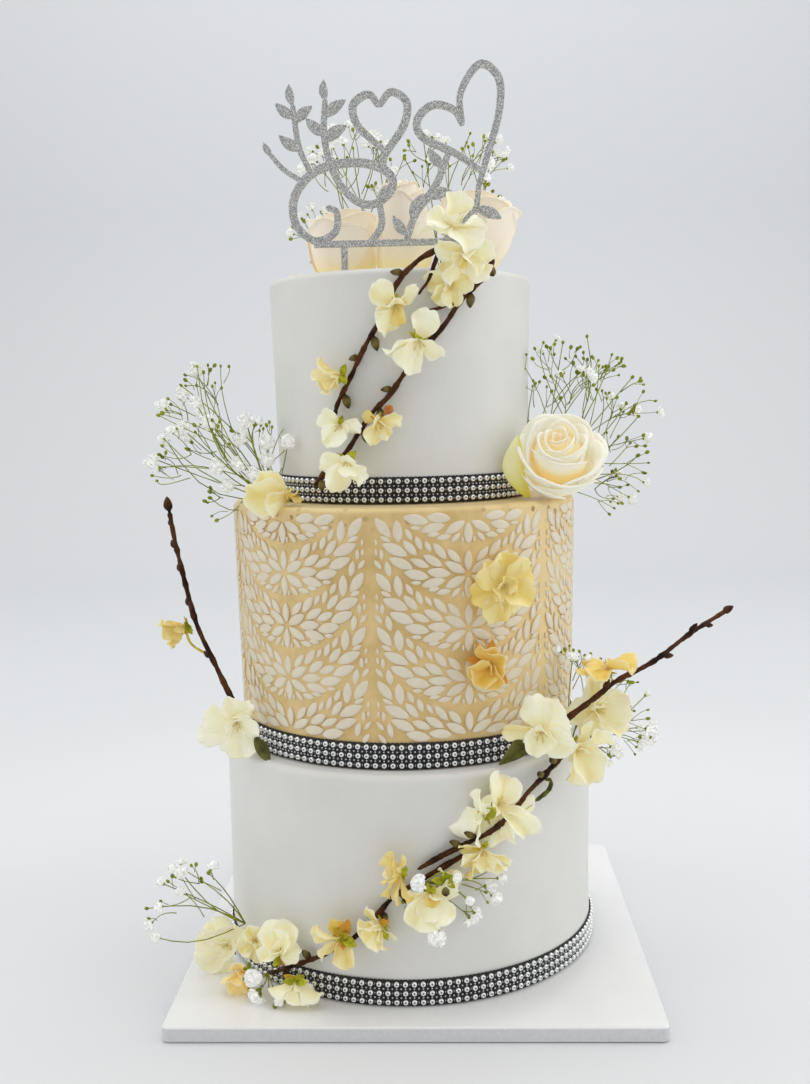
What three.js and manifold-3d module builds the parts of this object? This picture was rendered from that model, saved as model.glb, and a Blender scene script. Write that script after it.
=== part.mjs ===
// A three-tier wedding cake on its square drum board.
// Smooth sugar-paste tiers, each with a beaded ribbon round its foot; the middle one is gold
// with a stencilled relief of leaves. Wired twigs of cream blossom climb the front, with roses
// and sprays of baby's breath on the ledges, and a cut-out topper stands at the front of the top.
// Millimetres and degrees, +Z up, the front towards -Y.
// The origin is on the cake's axis, on the underside of the board.
// A place on the cake is given as [azimuth, height, distance from the axis]; azimuth 0 is the
// front and grows towards +X.
import * as THREE from "three";
import { mergeVertices } from "three/addons/utils/BufferGeometryUtils.js";
import Module from "manifold-3d";

const wasm = await Module();
wasm.setup();

// ---------------------------------------------------------------- driving dimensions
const GAP = 0.3; // air between neighbouring solids
const FACETS = 36; // flat sides round a tier
const BOARD = { side: 280, thick: 9, corner: 3, bevel: 1, shift: 5 };
const TIERS = {
  bottom: { foot: 116, rim: 116, height: 133.6, edge: 4 },
  middle: { foot: 104, rim: 107, height: 148.2, edge: 3 },
  top: { foot: 77.5, rim: 81.3, height: 133.2, edge: 4 },
};
const RIBBON = { height: 15.8, thick: 2, round: 2.4 };

const PATTERN = { columns: 6, rows: 6, pitch: 30.65, firstRow: 284.3, firstColumn: 21.5 };
const LEAF = { rise: 0.9, sink: 0.7, largest: 14, margin: 1.5, spill: 1.2 };
// One half of the repeat: [across, up, length, width, slope] from the rosette's centre.
const ROSETTE = [
  [0, 7.6, 11, 5, 90],
  [7.8, 4, 13, 5.4, 28],
  [7.8, -4.1, 13, 5.6, -27],
  [0, -7.8, 12, 5, -90],
];
const SPRAY = [
  [20.4, -4, 13.2, 5, -12],
  [17.2, 1.5, 13, 4.8, 8],
  [29.8, 0.8, 13.7, 5, 13],
  [38.2, 7.3, 14.2, 5.2, 25],
  [20.5, 8.4, 11.8, 4.6, 32],
  [27.9, 7.3, 10.7, 4.6, 23],
  [33.3, 15.9, 10.8, 4.8, 51],
  [41.5, 15.1, 14.8, 5.4, 25],
  [48.1, 27.4, 13, 5.4, 55],
  [39.9, 25.3, 12, 5.4, 85],
];

const TWIG = { sides: 5, bud: 3.6, budLength: 7 };
const PETAL = { thick: 1, notch: 0.46, shoulder: 16, ahead: 1.5, calyx: 2.6, uneven: 0.1 };
const ROSE = { sides: 9, rings: 5, petals: 3, thick: 1.4, lobe: 0.09 };
const BREATH = { stem: 0.7, floret: 3.6 };
const TOPPER = { thick: 3, y: -50, x: -2, barLength: 91, bar: 3.8, bottom: 440.5, stake: -28 };

const BOARD_TOP = BOARD.thick;
const BOTTOM_FOOT = BOARD_TOP + GAP;
const MIDDLE_FOOT = BOTTOM_FOOT + TIERS.bottom.height + GAP;
const TOP_FOOT = MIDDLE_FOOT + TIERS.middle.height + GAP;
const CAKE_TOP = TOP_FOOT + TIERS.top.height;

// ---------------------------------------------------------------- materials
const paint = (color, roughness, metalness = 0) =>
  new THREE.MeshStandardMaterial({ color, roughness, metalness });
const WHITE_PASTE = paint(0xeeeeea, 0.45);
const GOLD_PASTE = paint(0xe3c394, 0.5);
const BOARD_PAPER = paint(0xf2f2f0, 0.35);
const BEADS = paint(0x9a9a9c, 0.25, 0.8);
const GLITTER = paint(0xb4b4b6, 0.4, 0.6);
const BARK = paint(0x3f2419, 0.7);
const CREAM_SILK = paint(0xefe3b4, 0.6);
const YELLOW_SILK = paint(0xe7bd4e, 0.6);
const ROSE_PETAL = paint(0xf5e2c4, 0.5);
const WHITE_FLORET = paint(0xf3f5ec, 0.7);
const LEAF_GREEN = paint(0x7d8433, 0.6);

// ---------------------------------------------------------------- geometry to solid and back
const radians = THREE.MathUtils.degToRad;

function solidOf(geometry) {
  const bare = new THREE.BufferGeometry();
  bare.setAttribute("position", geometry.getAttribute("position"));
  if (geometry.index) bare.setIndex(geometry.index);
  const merged = mergeVertices(bare, 1e-4);
  const corners = merged.index.array;
  const kept = [];
  for (let i = 0; i < corners.length; i += 3) {
    const [a, b, c] = [corners[i], corners[i + 1], corners[i + 2]];
    if (a !== b && b !== c && c !== a) kept.push(a, b, c);
  }
  const solid = new wasm.Manifold(
    new wasm.Mesh({
      numProp: 3,
      vertProperties: new Float32Array(merged.attributes.position.array),
      triVerts: new Uint32Array(kept),
    }),
  );
  if (solid.volume() > 0) return solid;
  for (let i = 0; i < kept.length; i += 3) [kept[i], kept[i + 1]] = [kept[i + 1], kept[i]];
  return new wasm.Manifold(
    new wasm.Mesh({
      numProp: 3,
      vertProperties: new Float32Array(merged.attributes.position.array),
      triVerts: new Uint32Array(kept),
    }),
  );
}

function geometryOf(solid) {
  const mesh = solid.getMesh();
  const step = mesh.numProp;
  const points = new Float32Array(mesh.numVert * 3);
  for (let i = 0; i < mesh.numVert; i++) {
    points.set(mesh.vertProperties.subarray(i * step, i * step + 3), i * 3);
  }
  const geometry = new THREE.BufferGeometry();
  geometry.setAttribute("position", new THREE.BufferAttribute(points, 3));
  geometry.setIndex(new THREE.BufferAttribute(mesh.triVerts, 1));
  return geometry;
}

const joined = (solids) => solids.reduce((whole, next) => whole.add(next));

// The largest body of a solid, without the scraps that a cut can leave.
function largestBody(solid) {
  const bodies = solid.decompose();
  return bodies.reduce((most, body) => (body.volume() > most.volume() ? body : most));
}

// A geometry with each of its points moved by a rule.
function reshaped(geometry, rule) {
  const position = geometry.getAttribute("position");
  for (let i = 0; i < position.count; i++) {
    const [x, y, z] = rule(position.getX(i), position.getY(i), position.getZ(i));
    position.setXYZ(i, x, y, z);
  }
  return geometry;
}

// ---------------------------------------------------------------- places on the cake
function pointAt([azimuth, height, out]) {
  const angle = radians(azimuth);
  return new THREE.Vector3(out * Math.sin(angle), -out * Math.cos(angle), height);
}

// A frame at a place: X to the right along the wall, Y up, Z outwards, then turned to the
// right, tilted up and spun about its own Z.
function placeAt(place, { turn = 0, tilt = 0, spin = 0 } = {}) {
  const angle = radians(place[0]);
  const along = new THREE.Vector3(Math.cos(angle), Math.sin(angle), 0);
  const up = new THREE.Vector3(0, 0, 1);
  const outward = new THREE.Vector3(Math.sin(angle), -Math.cos(angle), 0);
  return new THREE.Matrix4()
    .makeBasis(along, up, outward)
    .setPosition(pointAt(place))
    .multiply(new THREE.Matrix4().makeRotationY(radians(turn)))
    .multiply(new THREE.Matrix4().makeRotationX(radians(-tilt)))
    .multiply(new THREE.Matrix4().makeRotationZ(radians(spin)));
}

const cake = new THREE.Group();
const occupied = []; // the room that each piece takes up, with its gap of air

function boxesMeet(a, b) {
  return [0, 1, 2].every((k) => a.min[k] <= b.max[k] && b.min[k] <= a.max[k]);
}

// Adds one piece. make(grow) gives its solid in its own frame, made larger by grow.
// A fitted piece is cut back from whatever stands there already.
function addPiece(name, material, frame, make, fitted = true) {
  let solid = make(0);
  if (fitted) {
    const back = frame.clone().invert();
    const reach = solid.transform(frame.elements).boundingBox();
    for (const room of occupied) {
      if (boxesMeet(reach, room.boundingBox())) {
        solid = solid.subtract(room.transform(back.elements));
      }
    }
    solid = largestBody(solid);
  }
  const room = [make(GAP), ...[GAP, -GAP].map((step) => make(0).translate([0, 0, step]))];
  occupied.push(joined(room).transform(frame.elements));
  const mesh = new THREE.Mesh(geometryOf(solid), material);
  mesh.name = name;
  frame.decompose(mesh.position, mesh.quaternion, mesh.scale);
  cake.add(mesh);
}

const raised = (height) => new THREE.Matrix4().makeTranslation(0, 0, height);

// ---------------------------------------------------------------- board
function boardSolid(grow) {
  const half = BOARD.side / 2 - BOARD.bevel + grow;
  const corner = BOARD.corner;
  const outline = new THREE.Shape();
  outline.moveTo(-half + corner, -half);
  outline.lineTo(half - corner, -half);
  outline.absarc(half - corner, -half + corner, corner, -Math.PI / 2, 0, false);
  outline.lineTo(half, half - corner);
  outline.absarc(half - corner, half - corner, corner, 0, Math.PI / 2, false);
  outline.lineTo(-half + corner, half);
  outline.absarc(-half + corner, half - corner, corner, Math.PI / 2, Math.PI, false);
  outline.lineTo(-half, -half + corner);
  outline.absarc(-half + corner, -half + corner, corner, Math.PI, 1.5 * Math.PI, false);
  const slab = new THREE.ExtrudeGeometry(outline, {
    depth: BOARD.thick - 2 * BOARD.bevel + grow,
    bevelThickness: BOARD.bevel,
    bevelSize: BOARD.bevel,
    bevelSegments: 1,
    curveSegments: 2,
  });
  slab.translate(BOARD.shift, 0, BOARD.bevel);
  return solidOf(slab);
}
addPiece("cake_board", BOARD_PAPER, new THREE.Matrix4(), boardSolid, false);

// ---------------------------------------------------------------- tiers
// A solid of revolution about +Z from a profile of [radius, height] points.
function turned(profile, facets = FACETS) {
  const points = profile.map(([radius, height]) => new THREE.Vector2(radius, height));
  return solidOf(new THREE.LatheGeometry(points, facets).rotateX(Math.PI / 2));
}

// A tier: straight wall from foot to rim, with the paste rounded over its top edge.
function tierSolid({ foot, rim, height, edge }, grow) {
  const round = [0, 0.3, 0.65, 1].map((part) => {
    const angle = (part * Math.PI) / 2;
    return [rim - edge + (edge + grow) * Math.cos(angle), height - edge + (edge + grow) * Math.sin(angle)];
  });
  return turned([[0, -grow], [foot + grow, -grow], ...round, [0, height + grow]]);
}

const wallAt = ({ foot, rim, height }, z) => foot + ((rim - foot) * z) / height;

// A leaf of the relief: an eight-sided lens half sunk in the wall.
function reliefLeaf(across, height, length, width, slope) {
  const wall = wallAt(TIERS.middle, height);
  const spread = LEAF.spill;
  const lens = new THREE.OctahedronGeometry(1).scale(
    (length / 2) * spread,
    (width / 2) * spread,
    LEAF.rise + LEAF.sink,
  );
  const frame = placeAt([THREE.MathUtils.radToDeg(across / wall), height, wall - LEAF.sink]);
  return solidOf(lens.rotateZ(radians(slope)).applyMatrix4(frame));
}

// Every leaf of the relief that is at least `least` long and clear of the ribbon and the rim.
function reliefLeaves(least) {
  const { columns, rows, pitch, firstRow, firstColumn } = PATTERN;
  const lowest = RIBBON.height + LEAF.margin;
  const highest = TIERS.middle.height - TIERS.middle.edge;
  const half = [...ROSETTE, ...SPRAY].filter((leaf) => leaf[2] >= least || leaf[0] === 0);
  const leaves = [];
  for (let column = 0; column < columns; column++) {
    const wallArc = radians(firstColumn + (360 / columns) * column);
    for (let row = 0; row < rows; row++) {
      const middle = firstRow - pitch * row - MIDDLE_FOOT;
      for (const [across, up, length, width, slope] of half) {
        const height = middle + up;
        const reach = (length / 2) * Math.abs(Math.sin(radians(slope)));
        if (height - reach < lowest || height + reach > highest) continue;
        const arc = wallArc * wallAt(TIERS.middle, height);
        leaves.push(reliefLeaf(arc + across, height, length, width, slope));
        if (across > 0) leaves.push(reliefLeaf(arc - across, height, length, width, -slope));
      }
    }
  }
  return leaves;
}

function middleTier(grow) {
  const plain = tierSolid(TIERS.middle, grow + (grow > 0 ? LEAF.rise : 0));
  if (grow > 0) return plain;
  return plain.add(joined(reliefLeaves(LEAF.largest)));
}

addPiece("tier_bottom", WHITE_PASTE, raised(BOTTOM_FOOT), (g) => tierSolid(TIERS.bottom, g), false);
addPiece("tier_middle", GOLD_PASTE, raised(MIDDLE_FOOT), middleTier, false);
addPiece("tier_top", WHITE_PASTE, raised(TOP_FOOT), (g) => tierSolid(TIERS.top, g), false);

// ---------------------------------------------------------------- ribbons
// A band of beads, lower along its two edges.
function ribbonSolid(tier, grow) {
  const { height, thick, round } = RIBBON;
  const inside = (z) => wallAt(tier, z) + GAP - grow;
  const outside = (z) => wallAt(tier, z) + GAP + thick + grow;
  const foot = [inside(0), GAP - grow];
  const face = [[outside(round), round], [outside(height - round), height - round]];
  return turned([foot, ...face, [inside(height), height + grow], foot]);
}
addPiece("ribbon_bottom", BEADS, raised(BOTTOM_FOOT), (g) => ribbonSolid(TIERS.bottom, g), false);
addPiece("ribbon_middle", BEADS, raised(MIDDLE_FOOT), (g) => ribbonSolid(TIERS.middle, g), false);
addPiece("ribbon_top", BEADS, raised(TOP_FOOT), (g) => ribbonSolid(TIERS.top, g), false);

// ---------------------------------------------------------------- topper
// A stroke of the cut-out: a bar bent along a pen line through [across, up] points, widest in
// its middle.
function penStroke({ points, thin, wide, samples }, depth, grow) {
  const line = new THREE.SplineCurve(points.map(([u, v]) => new THREE.Vector2(u, v)));
  const bar = new THREE.BoxGeometry(1, 1, depth, samples, 1, 1);
  return solidOf(
    reshaped(bar, (x, y, z) => {
      const part = x + 0.5;
      const point = line.getPoint(part);
      const along = line.getTangent(part);
      const side = y * (thin + (wide - thin) * Math.sin(part * Math.PI) ** 0.8 + grow);
      return [point.x - along.y * side, point.y + along.x * side, z];
    }),
  );
}

// A small pointed leaf from its root, [across, up], along the slope.
function leafShape([across, up], length, slope) {
  const corners = [[-1, 0], [length * 0.45, -0.2 * length], [length, 0], [length * 0.45, 0.2 * length]];
  return new THREE.Shape(
    corners.map(([x, y]) =>
      new THREE.Vector2(x, y)
        .rotateAround(new THREE.Vector2(), radians(slope))
        .add(new THREE.Vector2(across, up)),
    ),
  );
}

const STROKES = [
  // the tall heart, its two lobes and its stem
  {
    points: [[42, 67], [37, 76], [25, 79], [16, 71], [19, 61], [37, 52], [53, 41]],
    thin: 2.6, wide: 4.6, samples: 10,
  },
  {
    points: [[42, 67], [41, 85], [52, 101], [63, 93], [63, 74], [56, 50], [50, 30]],
    thin: 2.8, wide: 4.4, samples: 12,
  },
  { points: [[51, 34], [48, 18], [36, 10], [30, 1]], thin: 2.6, wide: 3.6, samples: 5 },
  // the small heart
  { points: [[-6, 79], [-12, 86], [-21, 80], [-18, 68], [-3, 54]], thin: 2.8, wide: 4.6, samples: 8 },
  { points: [[-6, 79], [1, 87], [10, 81], [8, 68], [-3, 52], [-4, 44]], thin: 2.8, wide: 4.6, samples: 9 },
  // the long scroll
  {
    points: [[-38, 23], [-32, 20], [-33, 9], [-45, 4], [-56, 14], [-56, 30], [-43, 44], [-20, 48], [-3, 43],
      [1, 34], [-8, 25], [-20, 26], [-32, 40], [-38, 62], [-37, 84]],
    thin: 3, wide: 5, samples: 21,
  },
  { points: [[-50, 37], [-62, 45], [-70, 54]], thin: 2.4, wide: 3, samples: 3 },
  { points: [[-46, 42], [-53, 58], [-56, 82]], thin: 2.6, wide: 3.4, samples: 4 },
  // two stems below
  { points: [[-14, 1], [-6, 12], [-7, 26]], thin: 2.8, wide: 4, samples: 3 },
  { points: [[8, 1], [14, 18], [26, 34], [34, 53]], thin: 2.8, wide: 4.4, samples: 5 },
];
// Each leaf of the cut-out: its root, its length and its slope.
const SPRIG = [
  [[-37, 83], 12, 92], [[-37, 74], 15, 38], [[-38, 60], 16, 34], [[-37, 64], 15, 140],
  [[-56, 81], 12, 98], [[-55, 71], 14, 42], [[-55, 74], 14, 142], [[-52, 56], 15, 146],
  [[-69, 53], 9, 120], [[12, 14], 17, 66], [[20, 27], 16, 12], [[-7, 24], 13, 60],
  [[9, 6], 14, 125], [[49, 20], 16, -22], [[46, 15], 13, 118], [[31, 44], 14, 130],
];

function topperSolid(grow) {
  const depth = TOPPER.thick + 2 * grow;
  const plate = (shape) =>
    solidOf(new THREE.ExtrudeGeometry(shape, { depth, bevelEnabled: false }).translate(0, 0, -depth / 2));
  const bar = new THREE.BoxGeometry(TOPPER.barLength, TOPPER.bar, depth);
  const stakeHeight = TOPPER.bottom - CAKE_TOP - GAP;
  const stake = new THREE.BoxGeometry(TOPPER.bar, stakeHeight + 1, depth);
  return joined([
    solidOf(bar.translate(0, TOPPER.bar / 2, 0)),
    solidOf(stake.translate(TOPPER.stake, (1 - stakeHeight) / 2, 0)),
    ...STROKES.map((stroke) => penStroke(stroke, depth, grow)),
    ...SPRIG.map(([root, length, slope]) => plate(leafShape(root, length, slope))),
  ]);
}
const topperFrame = new THREE.Matrix4()
  .makeTranslation(TOPPER.x, TOPPER.y, TOPPER.bottom)
  .multiply(new THREE.Matrix4().makeRotationX(Math.PI / 2));
addPiece("topper", GLITTER, topperFrame, topperSolid, false);

// ---------------------------------------------------------------- twigs
// A twig follows [azimuth, height, out] places; buds sit beside it as [part of its length,
// side angle].
function twigSolid({ places, radius, buds = [], shoots = [] }, grow) {
  const line = new THREE.CatmullRomCurve3(places.map(pointAt));
  const stick = (curve, thick, steps) => {
    const ring = Array.from({ length: TWIG.sides }, (_, i) => {
      const angle = (2 * Math.PI * i) / TWIG.sides;
      return new THREE.Vector2(Math.cos(angle), Math.sin(angle)).multiplyScalar(thick + grow);
    });
    return solidOf(
      new THREE.ExtrudeGeometry(new THREE.Shape(ring), { steps, extrudePath: curve, bevelEnabled: false }),
    );
  };
  const parts = [stick(line, radius, places.length)];
  for (const [part, side] of buds) {
    const root = line.getPointAt(part);
    const along = line.getTangentAt(part);
    const outward = new THREE.Vector3(root.x, root.y, 0).normalize();
    const beside = new THREE.Vector3().crossVectors(along, outward).normalize();
    const away = beside
      .multiplyScalar(Math.cos(radians(side)))
      .addScaledVector(outward, Math.sin(radians(side)))
      .addScaledVector(along, 0.9)
      .normalize();
    const thick = TWIG.bud / 2 + grow;
    const bud = new THREE.OctahedronGeometry(1).scale(thick, TWIG.budLength / 2 + grow, thick);
    const turn = new THREE.Quaternion().setFromUnitVectors(new THREE.Vector3(0, 1, 0), away);
    const centre = root.clone().addScaledVector(away, radius + TWIG.budLength / 2 - 1);
    bud.applyMatrix4(new THREE.Matrix4().compose(centre, turn, new THREE.Vector3(1, 1, 1)));
    parts.push(solidOf(bud));
  }
  for (const shoot of shoots) {
    parts.push(stick(new THREE.CatmullRomCurve3(shoot.map(pointAt)), radius * 0.6, shoot.length - 1));
  }
  return joined(parts);
}

const TWIGS = {
  twig_top_left: {
    radius: 2.1,
    places: [[18, 435.5, 88], [9, 427, 88], [1, 415, 87], [-5, 397, 86], [-11, 382, 85], [-18, 364, 84],
      [-23.5, 351, 84], [-26, 338, 84]],
    shoots: [[[17, 434, 88], [15.5, 427, 88], [13, 417, 88], [9, 409, 87]]],
    buds: [[0.22, 0], [0.62, 0], [0.8, 180], [0.94, 90], [0.5, 180]],
  },
  twig_top_right: {
    radius: 2.2,
    places: [[37, 429, 93], [32.5, 417, 91], [26, 408, 88], [18.5, 392, 86.5], [11, 380, 85], [4, 367, 84],
      [-2.5, 354, 84], [-9.5, 344, 84], [-15, 333, 84], [-20, 323, 84], [-30, 311, 84.5], [-34, 302, 88]],
    shoots: [[[26, 408, 88], [19, 403, 88], [11, 399, 88], [6, 393, 90]]],
    buds: [[0.03, 90], [0.14, 180], [0.2, 0], [0.3, 0], [0.52, 0], [0.6, 180], [0.7, 180], [0.94, 180]],
  },
  twig_left: {
    radius: 2.1,
    places: [[-50, 151, 112], [-54, 164, 117], [-57, 182, 125], [-60, 203, 132], [-63.3, 223, 138],
      [-66, 244, 142], [-68, 265, 145], [-70.2, 288, 148]],
    buds: [[0.42, 0], [0.6, 0], [0.62, 180], [0.76, 0], [0.88, 0], [0.99, 90]],
  },
  twig_right: {
    radius: 2,
    places: [[41, 158, 124], [49.5, 171, 131], [55, 180, 139.5], [59.4, 187, 147], [64.2, 196, 161],
      [68.3, 207, 175], [71.4, 216, 188], [74.1, 225, 201]],
    buds: [[0.3, 180], [0.52, 180], [0.62, 0], [0.72, 180], [0.84, 0], [0.92, 180]],
  },
  twig_low_right: {
    radius: 2.2,
    places: [[41, 151, 121], [40.5, 140, 121], [36, 128, 120], [30, 119, 120], [23.5, 111.5, 120],
      [16.5, 106, 120], [9.8, 99, 120], [4, 92, 120]],
    shoots: [[[38, 133, 121], [41, 129, 122], [41, 123, 122], [36, 119, 121.5], [31, 117.5, 121]]],
    buds: [[0.09, 0], [0.2, 0], [0.68, 0], [0.8, 0]],
  },
  twig_low_left: {
    radius: 2.1,
    places: [[17, 97, 119.6], [10, 91, 120], [3, 83, 120], [-3, 74, 120], [-8, 62, 120], [-14.6, 49, 120],
      [-23, 37, 121], [-29.4, 30, 122], [-35.6, 24, 123], [-41, 18, 124]],
    shoots: [[[-1, 77, 120], [2, 70, 120], [6, 71, 120]]],
    buds: [[0.4, 180], [0.5, 180], [0.72, 0], [0.86, 180]],
  },
};
for (const [name, twig] of Object.entries(TWIGS)) {
  addPiece(name, BARK, new THREE.Matrix4(), (grow) => twigSolid(twig, grow));
}

// ---------------------------------------------------------------- roses
// An outer petal of a rose. Its slope over the flower's plane runs evenly from `start` to `end`
// degrees, so it bends upwards as an arc that is `widest` from the rose's axis where it stands
// upright, and it wraps sideways round that axis.
function petalSolid({ widest, width, start, end, spin }, grow) {
  const first = radians(start);
  const bend = radians(end - start);
  const length = (widest * bend) / (1 - Math.sin(first));
  const lens = reshaped(new THREE.SphereGeometry(1, 6, 3), (x, y, z) => {
    const part = (1 + y) / 2;
    const slope = first + bend * part;
    const out = (length * (Math.sin(slope) - Math.sin(first))) / bend;
    const up = (-length * (Math.cos(slope) - Math.cos(first))) / bend;
    const side = x * (width / 2 + grow) * (0.75 + 0.5 * part);
    const raise = z * (ROSE.thick / 2 + grow);
    const radius = out - raise * Math.sin(slope);
    const round = side / Math.max(radius, width / 2);
    return [radius * Math.cos(round), radius * Math.sin(round), up + raise * Math.cos(slope)];
  });
  return solidOf(lens.rotateZ(radians(spin)));
}

// A rose: an egg-shaped heart of rolled petals, lobed in threes, with cupped outer petals.
function roseSolid({ radius, height, flare }, grow) {
  const heart = reshaped(
    new THREE.SphereGeometry(1, ROSE.sides, ROSE.rings).rotateX(Math.PI / 2),
    (x, y, z) => {
      const lobe = 1 + ROSE.lobe * Math.cos(3 * Math.atan2(y, x) + 2 * z);
      const wide = (radius * 0.9 * lobe + grow) * (1 - 0.12 * z);
      return [x * wide, y * wide, (height / 2) * (1 + z) * 0.94 + z * grow];
    },
  );
  const petals = Array.from({ length: ROSE.petals }, (_, i) =>
    petalSolid(
      {
        widest: radius * 0.94,
        width: radius * 1.7,
        start: 4,
        end: 150 - flare * (i % 2 ? 1 : 0.6),
        spin: (360 / ROSE.petals) * i - 30,
      },
      grow,
    ),
  );
  return joined([solidOf(heart), ...petals]);
}
const upright = (x, y, z, leanX = 0, leanY = 0) =>
  new THREE.Matrix4()
    .makeTranslation(x, y, z)
    .multiply(new THREE.Matrix4().makeRotationX(radians(leanX)))
    .multiply(new THREE.Matrix4().makeRotationY(radians(leanY)));
const ROSES = {
  rose_top_left: { frame: upright(-32, -8, CAKE_TOP + 1, 0, -12), radius: 21, height: 40, flare: 22 },
  rose_top_centre: { frame: upright(3, -16, CAKE_TOP + 1, 6, 0), radius: 20, height: 48, flare: 12 },
  rose_top_right: { frame: upright(43, -12, CAKE_TOP + 1, 0, 14), radius: 22, height: 44, flare: 26 },
  rose_side: { frame: placeAt([68.4, 310, 103], { turn: -72, tilt: 38 }), radius: 24, height: 28, flare: 34 },
};
for (const [name, { frame, ...size }] of Object.entries(ROSES)) {
  addPiece(name, ROSE_PETAL, frame, (grow) => roseSolid(size, grow));
}

// ---------------------------------------------------------------- blossoms
// A blossom in one surface: a ball of three meridians to a petal, drawn out into a thin flower.
// Its front pole is the throat, its equator the edge of the petals and its back pole the end of
// the stalk. Each petal is `open` degrees from the axis, and the petals are a little uneven.
function blossomSolid({ reach, open, petals, stalk }, grow) {
  const sides = petals * 3;
  const flower = reshaped(new THREE.SphereGeometry(1, sides, 4), (x, y, z) => {
    if (y > 0.99) return [0, 0, PETAL.ahead + grow];
    if (y < -0.99) return [0, 0, -stalk - 3 * grow];
    const meridian = Math.round((Math.atan2(z, x) / (2 * Math.PI)) * sides + sides) % sides;
    const petal = Math.floor(meridian / 3);
    const part = meridian % 3;
    const notched = part === 0;
    const turn = [0, PETAL.shoulder, 360 / petals - PETAL.shoulder][part];
    const angle = radians((360 / petals) * petal + turn);
    const length = reach * (1 + PETAL.uneven * Math.sin(petal * 2.4 + reach)) + grow;
    const lean = radians(open + 7 * Math.sin(petal * 1.7 + reach * 2));
    let along = length * (notched ? PETAL.notch : 1);
    let raise = 0;
    if (y > 0.1) {
      along *= notched ? 0.6 : 0.55;
      raise = PETAL.thick / 2 + grow;
    }
    if (y < -0.1) {
      along = PETAL.calyx + 2 * grow;
      raise = -PETAL.thick - grow;
    }
    const radius = along * Math.sin(lean);
    return [radius * Math.cos(angle), radius * Math.sin(angle), along * Math.cos(lean) + raise];
  });
  return solidOf(flower);
}

// Where each blossom sits: azimuth, height, distance out, length of petal, turn to the right,
// tilt up, how far it is open (90 is flat), spin, petals and length of stalk.
const BLOSSOMS = {
  blossom_top_a: [21, 447, 90, 16, 0, 25, 80, 10, 5, 5],
  blossom_top_b: [25.5, 429, 95, 13, 10, -40, 62, 30, 5, 5],
  blossom_top_c: [20, 413, 87, 14, 0, -10, 78, 36, 5, 3],
  blossom_upper_a: [0.4, 405, 91, 13, -5, -30, 75, 20, 5, 5],
  blossom_upper_b: [8, 385, 92, 14.5, 15, -25, 74, 0, 5, 6],
  blossom_upper_c: [-20.5, 366, 88, 11.5, -62, -8, 55, 20, 5, 4],
  blossom_upper_d: [-23.5, 337, 89, 13.5, -25, -10, 76, 15, 5, 4],
  blossom_upper_e: [-5.5, 341, 88, 12, 5, -62, 62, 10, 5, 4],
  blossom_upper_f: [-18, 315, 90, 14.5, -20, -45, 68, 0, 5, 5],
  blossom_ledge: [-41, 300, 96, 15, 10, 35, 72, 0, 5, 5],
  blossom_mid_large: [30.7, 246, 114, 18, 0, 0, 82, 15, 5, 6],
  blossom_mid_small: [27, 203, 111, 10.5, -10, 0, 45, 0, 5, 3],
  blossom_left_tip: [-77, 215, 140, 11, -40, -25, 50, 0, 5, 3],
  blossom_left: [-56.2, 163, 121, 17, 20, 0, 80, 18, 5, 5],
  blossom_right_gold: [56.5, 195, 144, 15.5, 0, 62, 84, 0, 5, 3],
  blossom_right_front: [41, 161, 128, 17, -20, 5, 80, 12, 5, 5],
  blossom_right_back: [60, 166, 132, 15, 10, 10, 76, 40, 5, 5],
  blossom_right_low: [51.5, 150, 128, 14.5, 0, -50, 62, 0, 5, 5],
  blossom_low_a: [25, 122, 127, 13.5, -75, -5, 60, 0, 5, 5],
  blossom_low_b: [28.5, 123, 127, 15, 60, -20, 68, 30, 5, 5],
  blossom_low_c: [21, 102, 127, 14.5, 0, -35, 68, 20, 5, 5],
  blossom_low_gold: [1.5, 89.5, 127, 13.5, -70, 0, 62, 0, 7, 5],
  blossom_low_d: [8, 77, 126, 15, 20, -25, 78, 10, 5, 5],
  blossom_low_e: [-5.5, 61, 126, 11.5, -30, -25, 50, 0, 5, 4],
  blossom_low_f: [-16.5, 52, 125, 12, -20, 40, 68, 36, 5, 4],
  blossom_low_g: [12.5, 85.5, 123, 7, 20, 0, 62, 0, 5, 3],
  blossom_foot_a: [-57, 29, 128, 17.5, -10, 5, 78, 10, 5, 5],
  blossom_foot_b: [-47, 20, 133, 9, -5, -5, 45, 30, 5, 4],
  blossom_foot_c: [-34, 40, 126, 12.5, 10, 35, 64, 10, 5, 4],
  blossom_foot_d: [-29, 23, 131, 12.5, 0, -68, 66, 0, 5, 4],
  blossom_foot_e: [-44, 37, 128, 10, 5, 20, 62, 0, 5, 4],
};
const YELLOW = ["blossom_mid_small", "blossom_right_gold", "blossom_low_gold", "blossom_foot_b"];
for (const [name, numbers] of Object.entries(BLOSSOMS)) {
  const [azimuth, height, out, reach, turn, tilt, open, spin, petals, stalk] = numbers;
  const frame = placeAt([azimuth, height, out], { turn, tilt, spin });
  const silk = YELLOW.includes(name) ? YELLOW_SILK : CREAM_SILK;
  addPiece(name, silk, frame, (grow) => blossomSolid({ reach, open, petals, stalk }, grow));
}

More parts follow.
